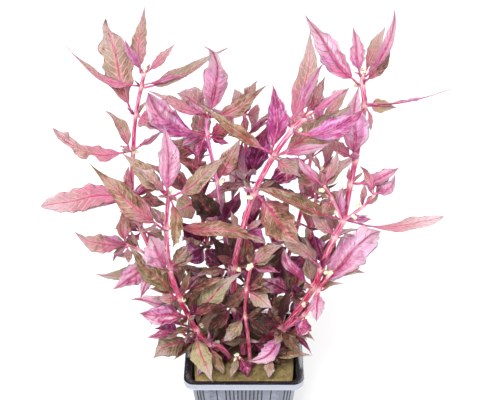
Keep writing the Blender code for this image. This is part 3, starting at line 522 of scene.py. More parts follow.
def leaf_pattern(recipe):
    """The painted numbers, the place on the blade, and masks for the veins, midrib and margin."""
    tint = recipe.painted("tint")
    split = recipe.add("SeparateColor", {"Color": tint.outputs["Color"]})
    pink, pale, gold = (split.outputs[name] for name in ("Red", "Green", "Blue"))
    shift = tint.outputs["Alpha"]
    across, along, _ = recipe.apart(recipe.add("UVMap", uv_map="leaf").outputs["UV"])
    aside = recipe.calculate("ABSOLUTE", recipe.scaled(across, 2.0, -1.0))

    wobble = recipe.swung(recipe.noise(190.0), 1.0)
    sweep = recipe.times(recipe.calculate("POWER", aside, SWEEP_POWER), VEIN_SLANT)
    phase = recipe.minus(recipe.scaled(along, recipe.painted("veins").outputs["Fac"], wobble), sweep)
    from_vein = recipe.calculate("ABSOLUTE", recipe.minus(recipe.calculate("FRACT", phase), 0.5))
    taper = recipe.times(recipe.minus(1.0, along), recipe.times(along, 4.0))
    beside = recipe.times(aside, recipe.most(taper, 0.6))
    net = recipe.add("TexVoronoi", {"Vector": recipe.place(), "Scale": NET_SCALE}, feature="DISTANCE_TO_EDGE")

    moves = {0: recipe.place(), 1: recipe.together(shift, shift, shift)}
    moved = recipe.add("VectorMath", moves, operation="ADD").outputs[0]
    clouds = recipe.noise(CLOUD_SCALE, moved, 4.0, 0.6)
    drawn = recipe.together(recipe.times(phase, 2.6), recipe.times(aside, 1.3), recipe.times(shift, 40.0))
    streak = recipe.noise(1.0, drawn, 3.0, 0.65)
    drawn = recipe.together(recipe.times(across, 7.0), recipe.times(along, 1.8), recipe.times(shift, 25.0))
    crease_and_painted_light = recipe.noise(1.0, drawn, 3.0, 0.6)
    # Painted light: nearness to the outside of the bush, the leaf's paleness, and mottling, streaks and
    # creases that stand for light and shade across the crumpled blade. It picks the shaded or lit copy of
    # each colour
    light = recipe.plus(recipe.painted_light_by_place(), recipe.scaled(pale, 1.4, -0.4), recipe.swung(clouds, 1.8),
                        recipe.swung(streak, 1.6), recipe.swung(crease_and_painted_light, 1.4))
    return SimpleNamespace(
        pink=pink, pale=pale, gold=gold, along=along, light=light,
        clouds=clouds, streak=streak, crease_and_painted_light=crease_and_painted_light,
        broad=recipe.noise(BROAD_SCALE, moved, 3.0, 0.5),
        vein=recipe.step(from_vein, 0.3, 0.43),
        fine_vein=recipe.step(from_vein, 0.38, 0.5),
        midrib=recipe.step(beside, 0.09, 0.03),
        near_midrib=recipe.step(beside, 0.28, 0.03),
        net=recipe.step(net.outputs["Distance"], 0.14, 0.0),
        margin=recipe.step(aside, 0.78, 0.97),
        withered=recipe.times(recipe.step(along, 0.9, 0.98), recipe.step(shift, 0.6, 0.7, 0.0, 0.85)),
    )


print("on its way to the margin a side vein runs", VEIN_SLANT, "vein spacings towards the tip")


# %% The upper side
def leaf_upper_finish():
    """Olive fields between salmon veins, pinker towards the stalk and at the margin."""
    recipe = Recipe("leaf_upper")
    leaf = leaf_pattern(recipe)
    olive = recipe.three(leaf.light, (36, 22, 16), (88, 76, 46), (136, 132, 104))
    golden = recipe.three(leaf.light, (50, 42, 22), (112, 106, 62), (172, 168, 122))
    reddish = recipe.three(leaf.light, (56, 20, 26), (118, 60, 56), (168, 118, 110))
    field = recipe.blend(leaf.gold, olive, golden)
    field = recipe.blend(recipe.step(leaf.broad, 0.5, 0.65, 0.0, 0.5), field, reddish)

    salmon = recipe.three(leaf.light, (102, 32, 50), (214, 106, 122), (248, 184, 188))
    copper = recipe.three(leaf.light, (92, 44, 32), (196, 124, 86), (236, 176, 148))
    lines_drawn = recipe.most(leaf.vein, recipe.times(leaf.net, 0.4), leaf.margin,
                              recipe.times(leaf.near_midrib, 0.9))
    strength = recipe.scaled(leaf.pink, 0.9, 0.37)
    veined = recipe.blend(recipe.times(lines_drawn, strength), field, recipe.blend(leaf.gold, salmon, copper))

    rose = recipe.three(leaf.light, (96, 18, 58), (190, 50, 112), (226, 124, 168))
    flush = recipe.plus(recipe.step(leaf.along, 0.5, 0.0, 0.0, 0.5), leaf.clouds, leaf.pink)
    # Paler tips, partly their own paleness and partly a painted highlight where the painted light is strong
    pale_lit_tips = recipe.times(recipe.step(leaf.along, 0.4, 1.0), recipe.step(leaf.light, 0.3, 1.0))
    rib = recipe.three(leaf.light, (116, 22, 54), (192, 54, 98), (212, 98, 130))
    speck = recipe.three(leaf.light, (110, 64, 56), (204, 156, 132), (238, 208, 198))
    color = recipe.layered(
        veined,
        (recipe.step(flush, 0.9, 1.8, 0.0, 0.85), rose),
        (recipe.times(pale_lit_tips, recipe.scaled(leaf.pale, 0.85, 0.15)), (236, 206, 214)),
        (recipe.times(leaf.midrib, recipe.step(leaf.along, 1.0, 0.1, 0.3, 1.0)), rib),
        (recipe.step(recipe.noise(1100.0, detail=2.0), 0.56, 0.75, 0.0, 0.3), speck),
        (leaf.withered, WITHERED))

    relief = recipe.scaled(leaf.vein, -0.7, recipe.times(leaf.net, -0.3))
    relief = recipe.plus(relief, recipe.times(leaf.clouds, 0.8), recipe.times(leaf.streak, 0.8))
    recipe.bump(recipe.minus(relief, leaf.midrib), 1.0, 0.7 * MM)
    return recipe.finish(color, recipe.scaled(leaf.clouds, 0.35, 0.2), **LEAF_GLOW)


leaf_upper = leaf_upper_finish()
print("upper side:", len(leaf_upper.node_tree.nodes), "shader nodes")


# %% The underside
def leaf_under_finish():
    """Magenta to lilac, streaked dark and pale along the veins, with painted highlights on the ridges of the
    creases and painted shade in their folds.
    """
    recipe = Recipe("leaf_under")
    leaf = leaf_pattern(recipe)
    pinkish = recipe.three(leaf.light, (80, 8, 46), (168, 42, 106), (222, 154, 190))
    magenta = recipe.three(leaf.light, (98, 8, 52), (184, 26, 98), (206, 80, 138))
    brown = recipe.three(leaf.light, (54, 20, 24), (126, 80, 72), (176, 140, 134))
    violet = recipe.three(leaf.light, (86, 8, 64), (170, 28, 134), (208, 106, 186))
    share = recipe.plus(recipe.times(leaf.pink, 0.6), recipe.times(recipe.step(leaf.along, 0.6, 0.0), 0.5))
    brownish = recipe.times(leaf.gold, recipe.step(leaf.broad, 0.4, 0.6))
    bluish = recipe.step(leaf.broad, 0.44, 0.6, 0.0, 0.75)
    base = recipe.layered(pinkish, (share, magenta), (brownish, brown), (bluish, violet))

    pale = recipe.three(leaf.light, (128, 40, 86), (222, 140, 180), (246, 216, 228))
    lilac = recipe.three(leaf.light, (120, 44, 104), (208, 132, 198), (236, 206, 236))
    dark = recipe.three(leaf.light, (46, 4, 28), (120, 12, 66), (168, 52, 108))
    pale = recipe.blend(bluish, pale, lilac)
    # Paler tips, partly their own paleness and partly a painted highlight where the painted light is strong
    pale_lit_tips = recipe.times(recipe.step(leaf.along, 0.1, 0.9), recipe.step(leaf.light, 0.3, 1.0))
    color = recipe.layered(
        base,
        (recipe.times(leaf.vein, recipe.step(leaf.clouds, 0.4, 0.6, 0.3, 0.95)), pale),
        # Painted highlight on the ridges of the creases, then painted shade in their folds
        (recipe.step(leaf.crease_and_painted_light, 0.52, 0.66, 0.0, 0.6), pale),
        (recipe.step(leaf.crease_and_painted_light, 0.46, 0.36, 0.0, 0.5), magenta),
        (recipe.times(leaf.fine_vein, 0.45), dark),
        (recipe.times(leaf.margin, 0.6), pale),
        (recipe.times(pale_lit_tips, recipe.times(leaf.pale, 0.9)), (240, 206, 216)),
        (recipe.times(leaf.near_midrib, 0.35), dark),
        (leaf.withered, WITHERED))

    relief = recipe.scaled(leaf.fine_vein, 0.8, recipe.times(leaf.clouds, 0.8))
    relief = recipe.plus(relief, recipe.plus(leaf.streak, leaf.crease_and_painted_light))
    recipe.bump(recipe.plus(relief, leaf.midrib), 1.0, 0.7 * MM)
    return recipe.finish(color, recipe.scaled(leaf.clouds, 0.3, 0.22), **LEAF_GLOW)


leaf_under = leaf_under_finish()
print("underside:", len(leaf_under.node_tree.nodes), "shader nodes")

# %% [markdown]
# ## Stem, midrib and flower head finishes
#
# The stems are smooth and juicy, crimson with paler streaks along them, partly their own and partly painted
# highlights, and a whitish ring of down at each node. Towards the bush's middle they darken as painted shade.
# Noise on the place in space would make blotches, so each point of the skin carries where it lies round and
# along its stem, and the streaks follow that. One stem is more lilac. The flower heads are dry and papery,
# cream with yellow-green hearts.


# %% Stem skin
def stem_finish():
    """The painted numbers are the place round the stem, as a cosine and a sine, along it, and its rings."""
    recipe = Recipe("stem_skin")
    skin = recipe.painted("tint")
    split = recipe.add("SeparateColor", {"Color": skin.outputs["Color"]})
    around = recipe.together(*(split.outputs[name] for name in ("Red", "Green", "Blue")))
    streaks_and_highlights = recipe.noise(1.7, around, 3.0, 0.55)
    fine = recipe.noise(6.0, around, 2.0, 0.5)
    # Painted light: the skin darkens towards the bush's shady middle as painted shade
    light = recipe.painted_light_by_place()
    lilac = recipe.painted("lilac").outputs["Fac"]
    crimson = recipe.three(light, (146, 6, 54), (188, 10, 78), (180, 30, 96))
    purple = recipe.three(light, (152, 28, 98), (194, 70, 138), (208, 100, 164))
    pale = recipe.three(light, (220, 84, 132), (236, 122, 166), (240, 158, 194))
    color = recipe.layered(
        recipe.blend(lilac, crimson, purple),
        # Paler streaks, partly the skin's own and partly painted highlights; then fine near-white painted
        # highlights
        (recipe.step(streaks_and_highlights, 0.5, 0.6), recipe.blend(lilac, pale, (222, 150, 206))),
        (recipe.step(fine, 0.56, 0.64, 0.0, 0.65), (250, 220, 230)),
        (recipe.times(skin.outputs["Alpha"], 0.75), (240, 204, 198)))
    recipe.bump(recipe.plus(streaks_and_highlights, recipe.times(fine, 0.5)), 0.35, 0.3 * MM)
    roughness = recipe.scaled(streaks_and_highlights, 0.2, 0.3)
    return recipe.finish(color, roughness, Subsurface_Weight=0.1, Subsurface_Scale=2 * MM)


stem_skin = stem_finish()
print("stem skin:", len(stem_skin.node_tree.nodes), "shader nodes")


# %% Midribs and flower heads
def rib_finish():
    recipe = Recipe("leaf_rib")
    grain = recipe.noise(420.0)
    # Painted light: the midrib darkens towards the bush's shady middle as painted shade
    light = recipe.painted_light_by_place()
    deep = recipe.three(light, (104, 14, 48), (162, 32, 82), (178, 60, 112))
    pale = recipe.three(light, (140, 36, 80), (196, 82, 126), (212, 124, 160))
    recipe.bump(grain, 0.2, 0.2 * MM)
    color = recipe.blend(recipe.step(grain, 0.35, 0.7), deep, pale)
    return recipe.finish(color, recipe.scaled(grain, 0.2, 0.35))


def head_finish():
    recipe = Recipe("flower_head")
    grain = recipe.noise(1300.0)
    recipe.bump(grain, 0.5, 0.3 * MM)
    return recipe.finish(recipe.blend(recipe.step(grain, 0.36, 0.52), (214, 204, 128), (252, 248, 224)), 0.75)


PLANT_MATERIALS = (leaf_upper, leaf_under, rib_finish(), stem_skin, head_finish())
UPPER, UNDER, RIB, SKIN, HEAD = range(5)
print("plant finishes:", [material.name for material in PLANT_MATERIALS])

# %% [markdown]
# ## A leaf
#
# A leaf could be one sheet with thickness added, but then both sides would wear the same finish. Here two
# grids are shaped by one formula, one for the upper side and one for the underside, and they meet at the
# margin. The formula bends the grid along the leaf's curve, gives it its outline, folds it along the
# midrib, raises the fields between the veins, crumples it and ripples the margin.

# %% The leaf's curve, outline and veins
BLADE_START = 0.1
VEIN_SPACING = 8.5 * MM
LEAST_VEINS = 4
Traits = namedtuple("Traits", "base_power tip_power fold lean curl ripple waves phase twist sway hook tint")


def length_of(leaf):
    return (leaf.tip - leaf.base).length


def curve_at(leaf, share):
    """A point of the leaf's midrib and the direction there."""
    near = leaf.base.lerp(leaf.control, share)
    far = leaf.control.lerp(leaf.tip, share)
    return near.lerp(far, share), (far - near).normalized()


def square_to(leaf, way):
    """The leaf's upper side made square to the direction of its midrib."""
    return (leaf.upper - leaf.upper.project(way)).normalized()


def vein_count(leaf):
    """How many pairs of side veins a leaf has. Longer leaves have more."""
    return LEAST_VEINS + round(length_of(leaf) / VEIN_SPACING)


def outline(traits, share):
    """Half the width at a share of the blade, as a part of the greatest half width."""
    a, b = traits.base_power, traits.tip_power
    widest = a / (a + b)
    peak = widest ** a * (1 - widest) ** b
    share = kept_in(share)
    return share ** a * (1 - share) ** b / peak


longest = max((leaf for found in large_leaves.values() for leaf in found), key=length_of)
print("longest leaf", round(length_of(longest) / MM), "mm with", vein_count(longest), "pairs of side veins")

# %% [markdown]
# Some old leaves are torn or notched. Cutting the mesh would leave ragged facets, so the formula pulls the
# margin in towards the midrib at that place instead.

# %% Torn and notched margins
# For each tear: which hand, where along the blade, how deep and how long, as shares of the blade
TORN = {
    "leaf_tall_left_4": ((-1, 0.93, 0.85, 0.12), (1, 0.55, 0.25, 0.06)),
    "leaf_tall_left_5": ((-1, 0.5, 0.5, 0.15), (1, 0.36, 0.8, 0.06)),
    "leaf_left_front_9": ((1, 0.7, 0.35, 0.08),),
    "leaf_right_2": ((-1, 0.62, 0.3, 0.06),),
}


def left_by_tears(leaf, hand, along):
    """The share of a blade's half width that its tears leave."""
    left = 1.0
    for torn_hand, place, depth, size in TORN.get(leaf.node, ()):
        if hand == torn_hand:
            left *= 1 - depth * math.exp(-((along - place) / size) ** 4)
    return left


print("torn leaves:", len(TORN))

# %% Where a point of the flat leaf goes
BLADE_WIDTH = 1.04
BLADE_THICK = 0.45 * MM
LEAST_HALF = 0.5 * MM
TWIST_FROM = 0.35
HANDS_APART = 0.13
CRIMPS = 2.3
CRIMP_OUT = 0.08
CRIMP_UP = 0.35
QUILT = 0.1
CRUMPLE = 0.22
HOOK_FROM = 0.7
# The lumps of a crumpled blade: height, then how many across, how many along and how each leaf differs
LUMPS = ((1.0, 1.6, 5, 20), (0.5, 4, 13, 9), (0.6, 3.5, 1.5, 31))


def crumpled(traits, aside, along):
    """How high the lumps of a blade stand at a point of it."""
    return sum(height * noise.noise(Vector((across * aside, lengthwise * along, own * traits.phase)))
               for height, across, lengthwise, own in LUMPS)


def blade_point(leaf, traits, aside, along, under):
    """Where a point of the flat leaf goes. `aside` runs from -1 to 1 and `along` from 0 to 1."""
    point, way = curve_at(leaf, BLADE_START + (1 - BLADE_START) * along)
    raised = square_to(leaf, way)
    raised.rotate(Matrix.Rotation(traits.twist * (along - TWIST_FROM), 3, way))
    side = raised.cross(way)
    body = outline(traits, along)
    far = abs(aside)
    hand = 1 if aside > 0 else -1
    turn = 2 * math.pi * (traits.waves * along + traits.phase + HANDS_APART * hand)
    crimp = math.sin(CRIMPS * turn + 5 * traits.phase)
    half = leaf.width / 2 * BLADE_WIDTH * body * (1 + CRIMP_OUT * crimp) * left_by_tears(leaf, hand, along)
    half = max(half, LEAST_HALF * (1 - along))

    angle = traits.fold + hand * traits.lean - traits.curl * far / 2
    across = aside * half * math.cos(angle)
    bow = 4 * along * (1 - along)
    across += traits.sway * length_of(leaf) * bow * math.sin(2 * math.pi * along + traits.phase)
    lift = far * half * math.sin(angle)
    field = vein_count(leaf) * along - VEIN_SLANT * far ** SWEEP_POWER
    lift += QUILT * half * math.sin(math.pi * far) * -math.cos(2 * math.pi * field)
    lift += traits.ripple * half * far ** 2 * (math.sin(turn) + CRIMP_UP * crimp)
    lift += CRUMPLE * half * crumpled(traits, aside, along)
    lift += traits.hook * length_of(leaf) * max(along - HOOK_FROM, 0) ** 2
    if under:
        lift -= BLADE_THICK * (1 - far ** 2) * body
    return point + side * across + raised * lift


print("a blade is at most", BLADE_THICK / MM, "mm thick")

# %% [markdown]
# ## The character of each leaf
#
# No two leaves are alike. The small ones take their colour and form by chance, from a seed of their own and
# from their height, because old low leaves are golden and young high ones pink. The forty large leaves are
# seen one by one, so their colours are listed for each, and some of their forms too.

# %% The colours of the large leaves
# For each stem, its leaves in order: how pink, how pale, which also raises the leaf's painted light, and how
# golden, from 0 to 1
LOOKS = {
    "tall_left": (
        (0.45, 0.4, 0.15), (0.7, 0.95, 0.0), (0.3, 0.75, 0.1), (0.4, 0.35, 0.2), (0.7, 0.5, 0.3),
        (0.45, 0.3, 0.2), (0.85, 0.6, 0.2), (0.6, 0.4, 0.3)),
    "left_shoot": ((0.7, 0.6, 0.3),),
    "left_front": (
        (0.2, 0.45, 0.1), (0.35, 0.2, 0.5), (0.3, 0.2, 0.3), (0.35, 0.05, 0.8), (0.45, 0.1, 0.5),
        (0.5, 0.15, 0.5), (0.6, 0.7, 0.0), (0.1, 0.15, 0.8), (0.0, 0.75, 0.7), (0.6, 0.8, 0.0),
        (0.1, 0.6, 0.9)),
    "center_back": ((0.3, 1.0, 0.1), (0.5, 0.25, 0.4), (0.8, 0.3, 0.0), (0.15, 0.1, 0.5)),
    "center": (
        (0.4, 0.6, 0.2), (0.6, 0.5, 0.1), (0.6, 0.15, 0.0), (1.0, 0.0, 0.1), (0.4, 0.2, 0.4),
        (0.3, 0.15, 0.7), (0.5, 0.15, 0.6)),
    "right": (
        (0.5, 1.0, 0.1), (0.5, 0.7, 0.2), (0.1, 0.9, 0.5), (0.3, 0.5, 0.7), (0.4, 0.7, 0.2),
        (0.3, 0.1, 0.5), (0.8, 0.9, 0.1), (0.4, 0.75, 0.0), (0.7, 0.8, 0.0)),
}


def stem_of(leaf_node):
    """The name of a large leaf's stem, and the leaf's number on it."""
    name, number = leaf_node.removeprefix("leaf_").rsplit("_", 1)
    return name, int(number)


print("leaves with a set colour:", sum(map(len, LOOKS.values())))

# %% The forms of the large leaves
FORMS = {
    "leaf_tall_left_1": {"base_power": 0.8, "tip_power": 1.9, "twist": 0.2},
    "leaf_tall_left_2": {"tip_power": 3.0, "sway": 0.03},
    "leaf_tall_left_4": {"base_power": 0.9, "tip_power": 0.8, "ripple": 0.35},
    "leaf_tall_left_5": {"base_power": 0.8, "tip_power": 0.8},
    "leaf_tall_left_7": {"base_power": 0.7, "tip_power": 0.7, "twist": -0.2, "ripple": 0.3},
    "leaf_left_front_1": {"tip_power": 1.6, "fold": 0.8},
    "leaf_left_front_5": {"base_power": 1.1, "tip_power": 2.4},
    "leaf_center_1": {"tip_power": 1.8},
    "leaf_center_4": {"base_power": 0.7, "tip_power": 1.5, "fold": 0.5},
    "leaf_right_1": {"base_power": 0.9, "tip_power": 1.6, "curl": 0.9},
    "leaf_right_3": {"tip_power": 1.8},
    "leaf_right_4": {"base_power": 0.7, "tip_power": 1.6, "twist": 0.2, "fold": 0.2},
    "leaf_right_5": {"tip_power": 1.9},
    "leaf_right_7": {"base_power": 1.9, "tip_power": 0.9, "fold": 0.3},
    "leaf_right_8": {"fold": 0.5, "ripple": 0.35},
}
LOW_LEAVES = 100 * MM
HIGH_LEAVES = 300 * MM
LOW_PINK = 0.1
PINK_GAIN = 0.45
LOW_GOLD = 0.65
GOLD_LOSS = 0.5


def traits_of(leaf):
    """What differs from leaf to leaf. Inside the bush leaves lie flatter, because they have no room."""
    draw = random.Random(leaf.seed)
    height = kept_in((leaf.tip.z - LOW_LEAVES) / (HIGH_LEAVES - LOW_LEAVES))
    pink = LOW_PINK + PINK_GAIN * height + draw.uniform(-0.15, 0.4)
    pale = draw.uniform(0.0, 0.85)
    gold = LOW_GOLD - GOLD_LOSS * height + draw.uniform(-0.4, 0.4)
    if leaf.node in large_leaves:
        name, number = stem_of(leaf.node)
        pink, pale, gold = LOOKS[name][number - 1]
    middle = leaf.base.lerp(leaf.tip, 0.6) - Vector(SHADY_MIDDLE)
    outward = min(Vector([c / reach for c, reach in zip(middle, SHADE_REACH)]).length, 1)
    traits = Traits(
        base_power=draw.uniform(0.85, 1.25),
        tip_power=draw.uniform(1.3, 2.0),
        fold=draw.uniform(0.0, 0.7) * outward,
        lean=draw.uniform(-0.35, 0.35) * outward,
        curl=draw.uniform(-0.5, 1.1),
        ripple=draw.uniform(0.08, 0.34),
        waves=draw.uniform(1.2, 2.8),
        phase=draw.random(),
        twist=draw.uniform(-1.2, 1.2) * outward ** 2,
        sway=draw.uniform(-0.025, 0.025),
        hook=draw.uniform(-1.2, 1.2),
        tint=(kept_in(pink), kept_in(pale), kept_in(gold), draw.random()),
    )
    return traits._replace(**FORMS.get(leaf.node, {}))


print("leaves with a set form:", len(FORMS))

# %% The two sides of a blade
LARGE_GRID = (12, 54)
SMALL_GRID = (8, 20)
MARGIN_WELD = 0.002 * MM


def plant_mesh():
    """An empty mesh with a flat map for leaves and the numbers that are painted on its corners."""
    bm = bmesh.new()
    bm.loops.layers.uv.new("leaf")
    bm.verts.layers.float_color.new("tint")
    bm.verts.layers.float.new("veins")
    bm.verts.layers.float.new("lilac")
    return bm


def faces_of(verts):
    return {face for vert in verts for face in vert.link_faces}


def add_blade(bm, leaf, traits, grid):
    """Adds a leaf's blade to a mesh: two shaped grids that share their margin."""
    tint = bm.verts.layers.float_color["tint"]
    veins = bm.verts.layers.float["veins"]
    both = []
    for under in (False, True):
        flat = bmesh.ops.create_grid(bm, x_segments=grid[0], y_segments=grid[1], size=0.5, calc_uvs=True)
        made = flat["verts"]
        faces = faces_of(made)
        for face in faces:
            face.material_index = UNDER if under else UPPER
        for vert in made:
            vert.co = blade_point(leaf, traits, 2 * vert.co.x, vert.co.y + 0.5, under)
            vert[tint] = traits.tint
            vert[veins] = vein_count(leaf)
        if under:
            bmesh.ops.reverse_faces(bm, faces=list(faces))
        both += made
    bmesh.ops.remove_doubles(bm, verts=both, dist=MARGIN_WELD)


print("corners of a large blade:", 2 * (LARGE_GRID[0] + 1) * (LARGE_GRID[1] + 1))

# %% [markdown]
# ## Tubes
#
# Stems, stalks and midribs are tubes that taper and bend. A curve with a bevel would turn about its own
# line where it bends in space. So a ring is extruded from point to point instead, turned as little as can
# be, and drawn to a point at its end.


# %% A tube along points
def loop_edges(bm, ring):
    return [bm.edges.get((a, b)) for a, b in zip(ring, ring[1:] + ring[:1])]


def next_ring(bm, ring):
    """Extrudes a ring of edges and returns the new ring's corners in the same order."""
    made = bmesh.ops.extrude_edge_only(bm, edges=loop_edges(bm, ring))["geom"]
    fresh = {g for g in made if isinstance(g, bmesh.types.BMVert)}
    return [next(e.other_vert(v) for e in v.link_edges if e.other_vert(v) in fresh) for v in ring]


def rings_along(points, radii, sides):
    """A ring round each point of a line, turned as little as can be from one to the next."""
    rings = []
    outward = Vector((0, -1, 0))
    for index, (point, radius) in enumerate(zip(points, radii)):
        axis = (points[min(index + 1, len(points) - 1)] - points[max(index - 1, 0)]).normalized()
        outward = (outward - outward.project(axis)).normalized()
        side = axis.cross(outward)
        turns = [2 * math.pi * k / sides for k in range(sides)]
        rings.append([point + radius * (math.cos(t) * outward + math.sin(t) * side) for t in turns])
    return rings


def add_tube(bm, points, radii, sides, material_index, painted=None):
    """Adds a closed tube along points. It is extruded ring by ring, and its far end is drawn to a point."""
    tint = bm.verts.layers.float_color["tint"]
    ring = bmesh.ops.create_circle(bm, cap_ends=True, radius=MM, segments=sides)["verts"]
    made = list(ring)
    for index, places in enumerate(rings_along(points, radii, sides)):
        if index:
            ring = next_ring(bm, ring)
            made += ring
        for turn, (vert, place) in enumerate(zip(ring, places)):
            vert.co = place
            if painted:
                vert[tint] = painted(index, 2 * math.pi * turn / sides)
    end = points[-1] + (points[-1] - points[-2]).normalized() * radii[-1]
    bmesh.ops.pointmerge(bm, verts=next_ring(bm, ring), merge_co=end)
    faces = faces_of(made)
    for face in faces:
        face.material_index = material_index
    bmesh.ops.recalc_face_normals(bm, faces=list(faces))


print("a tube starts on a cap and ends in a point")

# %% Stalks and midribs
RIB_SHARES = (0.0, 0.08, 0.2, 0.35, 0.5, 0.65, 0.8, 0.93)
RIB_SIDES = 6
RIB_MOST = 0.75 * MM
RIB_LEAST = 0.35 * MM
RIB_PER_WIDTH = 0.03
RIB_END = 0.12 * MM
RIB_TAPER = 0.8
STALK_START = 0.3
STALK_SWELL = 1.25


def add_rib(bm, leaf, traits, line, shares=RIB_SHARES, sides=RIB_SIDES):
    """Adds a leaf's stalk, which comes out of its stem, and the midrib that it turns into under the blade."""
    thick = min(RIB_MOST, RIB_LEAST + RIB_PER_WIDTH * leaf.width)
    points = [line.nearest(leaf.base)[0].lerp(leaf.base, STALK_START)]
    radii = [thick * STALK_SWELL]
    for share in shares:
        point, way = curve_at(leaf, share)
        along = (share - BLADE_START) / (1 - BLADE_START)
        size = thick * (1 - share) ** RIB_TAPER + RIB_END
        if along > 0:
            point = blade_point(leaf, traits, 0.0, along, False) - square_to(leaf, way) * size
        points.append(point)
        radii.append(size)
    add_tube(bm, points, radii, sides, RIB)


print("a midrib is thinned over", len(RIB_SHARES), "rings")

# %% [markdown]
# ## The large leaves
#
# The forty leaves that make the plant's face are pieces of their own. Each stalk starts inside its stem, so
# that no gap shows between them.


# %% Build the large leaves
def mesh_from(name, bm):
    mesh = bpy.data.meshes.new(name)
    bm.to_mesh(mesh)
    bm.free()
    return mesh


def keep(name, bm, materials, slot, *nodes):
    """Turns a mesh into a piece that rides on the plant's one body, and hides the solids of the given nodes.
    """
    mesh = mesh_from(name, bm)
    for material in materials:
        mesh.materials.append(material)
    mesh.shade_smooth()
    piece = put(name, mesh)
    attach(piece, "root")
    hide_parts(*nodes)


for node, found in large_leaves.items():
    bm = plant_mesh()
    for leaf in found:
        traits = traits_of(leaf)
        add_blade(bm, leaf, traits, LARGE_GRID)
        add_rib(bm, leaf, traits, lines[stem_of(node)[0]])
    keep(node.replace("leaf_", "blade_"), bm, PLANT_MATERIALS[:3], "leaf_blade", node)
print("large leaves built:", len(large_leaves))

# %% [markdown]
# ## Stems
#
# A stem is a tube along a smooth curve, thicker at each node. The solid's line has one point between two
# nodes, which is too coarse for a close look, so more points are read from a curve through it.

# %% The skin of a stem
STEM_SIDES = 14
STEPS = 5
NODE_LENGTH = 2.4 * MM
NODE_SWELL = 0.34
STREAKS_PER_METRE = 25


def smooth_points(points, steps):
    """Points of a curve through the given ones, with the index in the coarse line of each."""
    padded = [2 * points[0] - points[1], *points, 2 * points[-1] - points[-2]]
    fine = []
    for index in range(len(points) - 1):
        a, b, c, d = padded[index:index + 4]
        for step in range(steps):
            t = step / steps
            bend = (2 * a - 5 * b + 4 * c - d) * t * t + (3 * b - a - 3 * c + d) * t ** 3
            fine.append((0.5 * (2 * b + (c - a) * t + bend), index + t))
    return fine + [(points[-1], len(points) - 1.0)]


def add_stem(bm, line):
    """Adds a stem to an empty mesh, with what its finish reads painted on it."""
    joints = [line.points[i] for i in range(len(line.points)) if line.is_node(i)]
    points, radii, rings, walked = [], [], [], []
    for place, index in smooth_points(line.points, STEPS):
        near = min(((place - joint).length for joint in joints), default=1.0)
        ring = math.exp(-(near / NODE_LENGTH) ** 2)
        walked.append(walked[-1] + (place - points[-1]).length if points else 0.0)
        points.append(place)
        radii.append(line.thin(index) * (1 + NODE_SWELL * ring))
        rings.append(ring)

    def painted(index, turn):
        return math.cos(turn), math.sin(turn), walked[index] * STREAKS_PER_METRE, rings[index]
    add_tube(bm, points, radii, STEM_SIDES, SKIN, painted)
    lilac = bm.verts.layers.float["lilac"]
    for vert in bm.verts:
        vert[lilac] = line.lilac


print("tallest stem has", len(smooth_points(lines["right"].points, STEPS)), "rings")

# %% [markdown]
# ## Flower heads
#
# The flower heads are tiny balls of dry scales, which sit in the angle between a leaf and the stem. On the
# solid a head is eight corners that stand out from the stem, and their middle is where the head goes. A
# ball with a bump pattern would look smooth at its rim, so the faces of a few small balls are poked
# outwards into scales.

# %% A flower head
HEAD_STAND = 0.9 * MM
HEAD_CORNERS = 8
HEAD_RADIUS = 1.35 * MM
HEAD_BALLS = 3
HEAD_SPREAD = 0.8
SCALE_LENGTH = 0.6 * MM


def head_places(corners, line):
    """The middles of the groups of eight corners that stand out from a stem."""
    standing = []
    for corner in corners:
        center, radius = line.nearest(corner)
        if (corner - center).length > radius * CAD_NODE_SWELL + HEAD_STAND:
            standing.append(corner)
    middles = []
    while standing:
        first = max(standing, key=lambda c: (c - line.nearest(c)[0]).length)
        standing.sort(key=lambda c: (c - first).length)
        group = standing[:HEAD_CORNERS]
        standing = standing[HEAD_CORNERS:]
        middles.append(sum(group, Vector()) / len(group))
    return middles


def add_head(bm, middle, draw):
    """A flower head: a few small balls side by side, whose faces are poked out into scales."""
    for _ in range(HEAD_BALLS):
        offset = Vector([draw.uniform(-1, 1) for _ in range(3)]) * HEAD_RADIUS * HEAD_SPREAD
        radius = HEAD_RADIUS * draw.uniform(0.75, 1.15)
        ball = bmesh.ops.create_icosphere(bm, subdivisions=1, radius=radius)["verts"]
        faces = sorted(faces_of(ball), key=lambda face: face.calc_center_median()[:])
        poked = bmesh.ops.poke(bm, faces=faces, offset=0)["verts"]
        for vert in poked:
            vert.co += vert.co.normalized() * (SCALE_LENGTH * draw.uniform(0.5, 1.2))
        whole = list(ball) + list(poked)
        for vert in whole:
            vert.co += middle + offset
        for face in faces_of(whole):
            face.material_index = HEAD


head_middles = {n: head_places(other_corners[n], lines[n.removeprefix("stem_")]) for n in stem_nodes}
print("flower heads:", sum(map(len, head_middles.values())))

# %% [markdown]
# ## Young leaves
#
# In the angle of each leaf sits a bud, and low on the stems most buds have opened into tufts of young
# leaves. They are too many and too small to be solids, so they are added here, on stems whose own solid
# leaves reach further than they do. Scattered by chance alone they would pierce what is there. So
# directions are tried, each a little shorter, until one leads a leaf past everything solid and keeps its
# tip inside the tight hull round its own stem and that stem's leaves.

# %% Room for a young leaf
YOUNG_ROOM = 1.5 * MM
YOUNG_APART = 4.2 * MM
YOUNG_SPREAD = 0.3

solid = bmesh.new()
for node in frame["nodes"].values():
    solid.from_mesh(node.data)
solids = BVHTree.FromBMesh(solid)
print("faces to keep clear of:", len(solid.faces))
solid.free()
taken = []


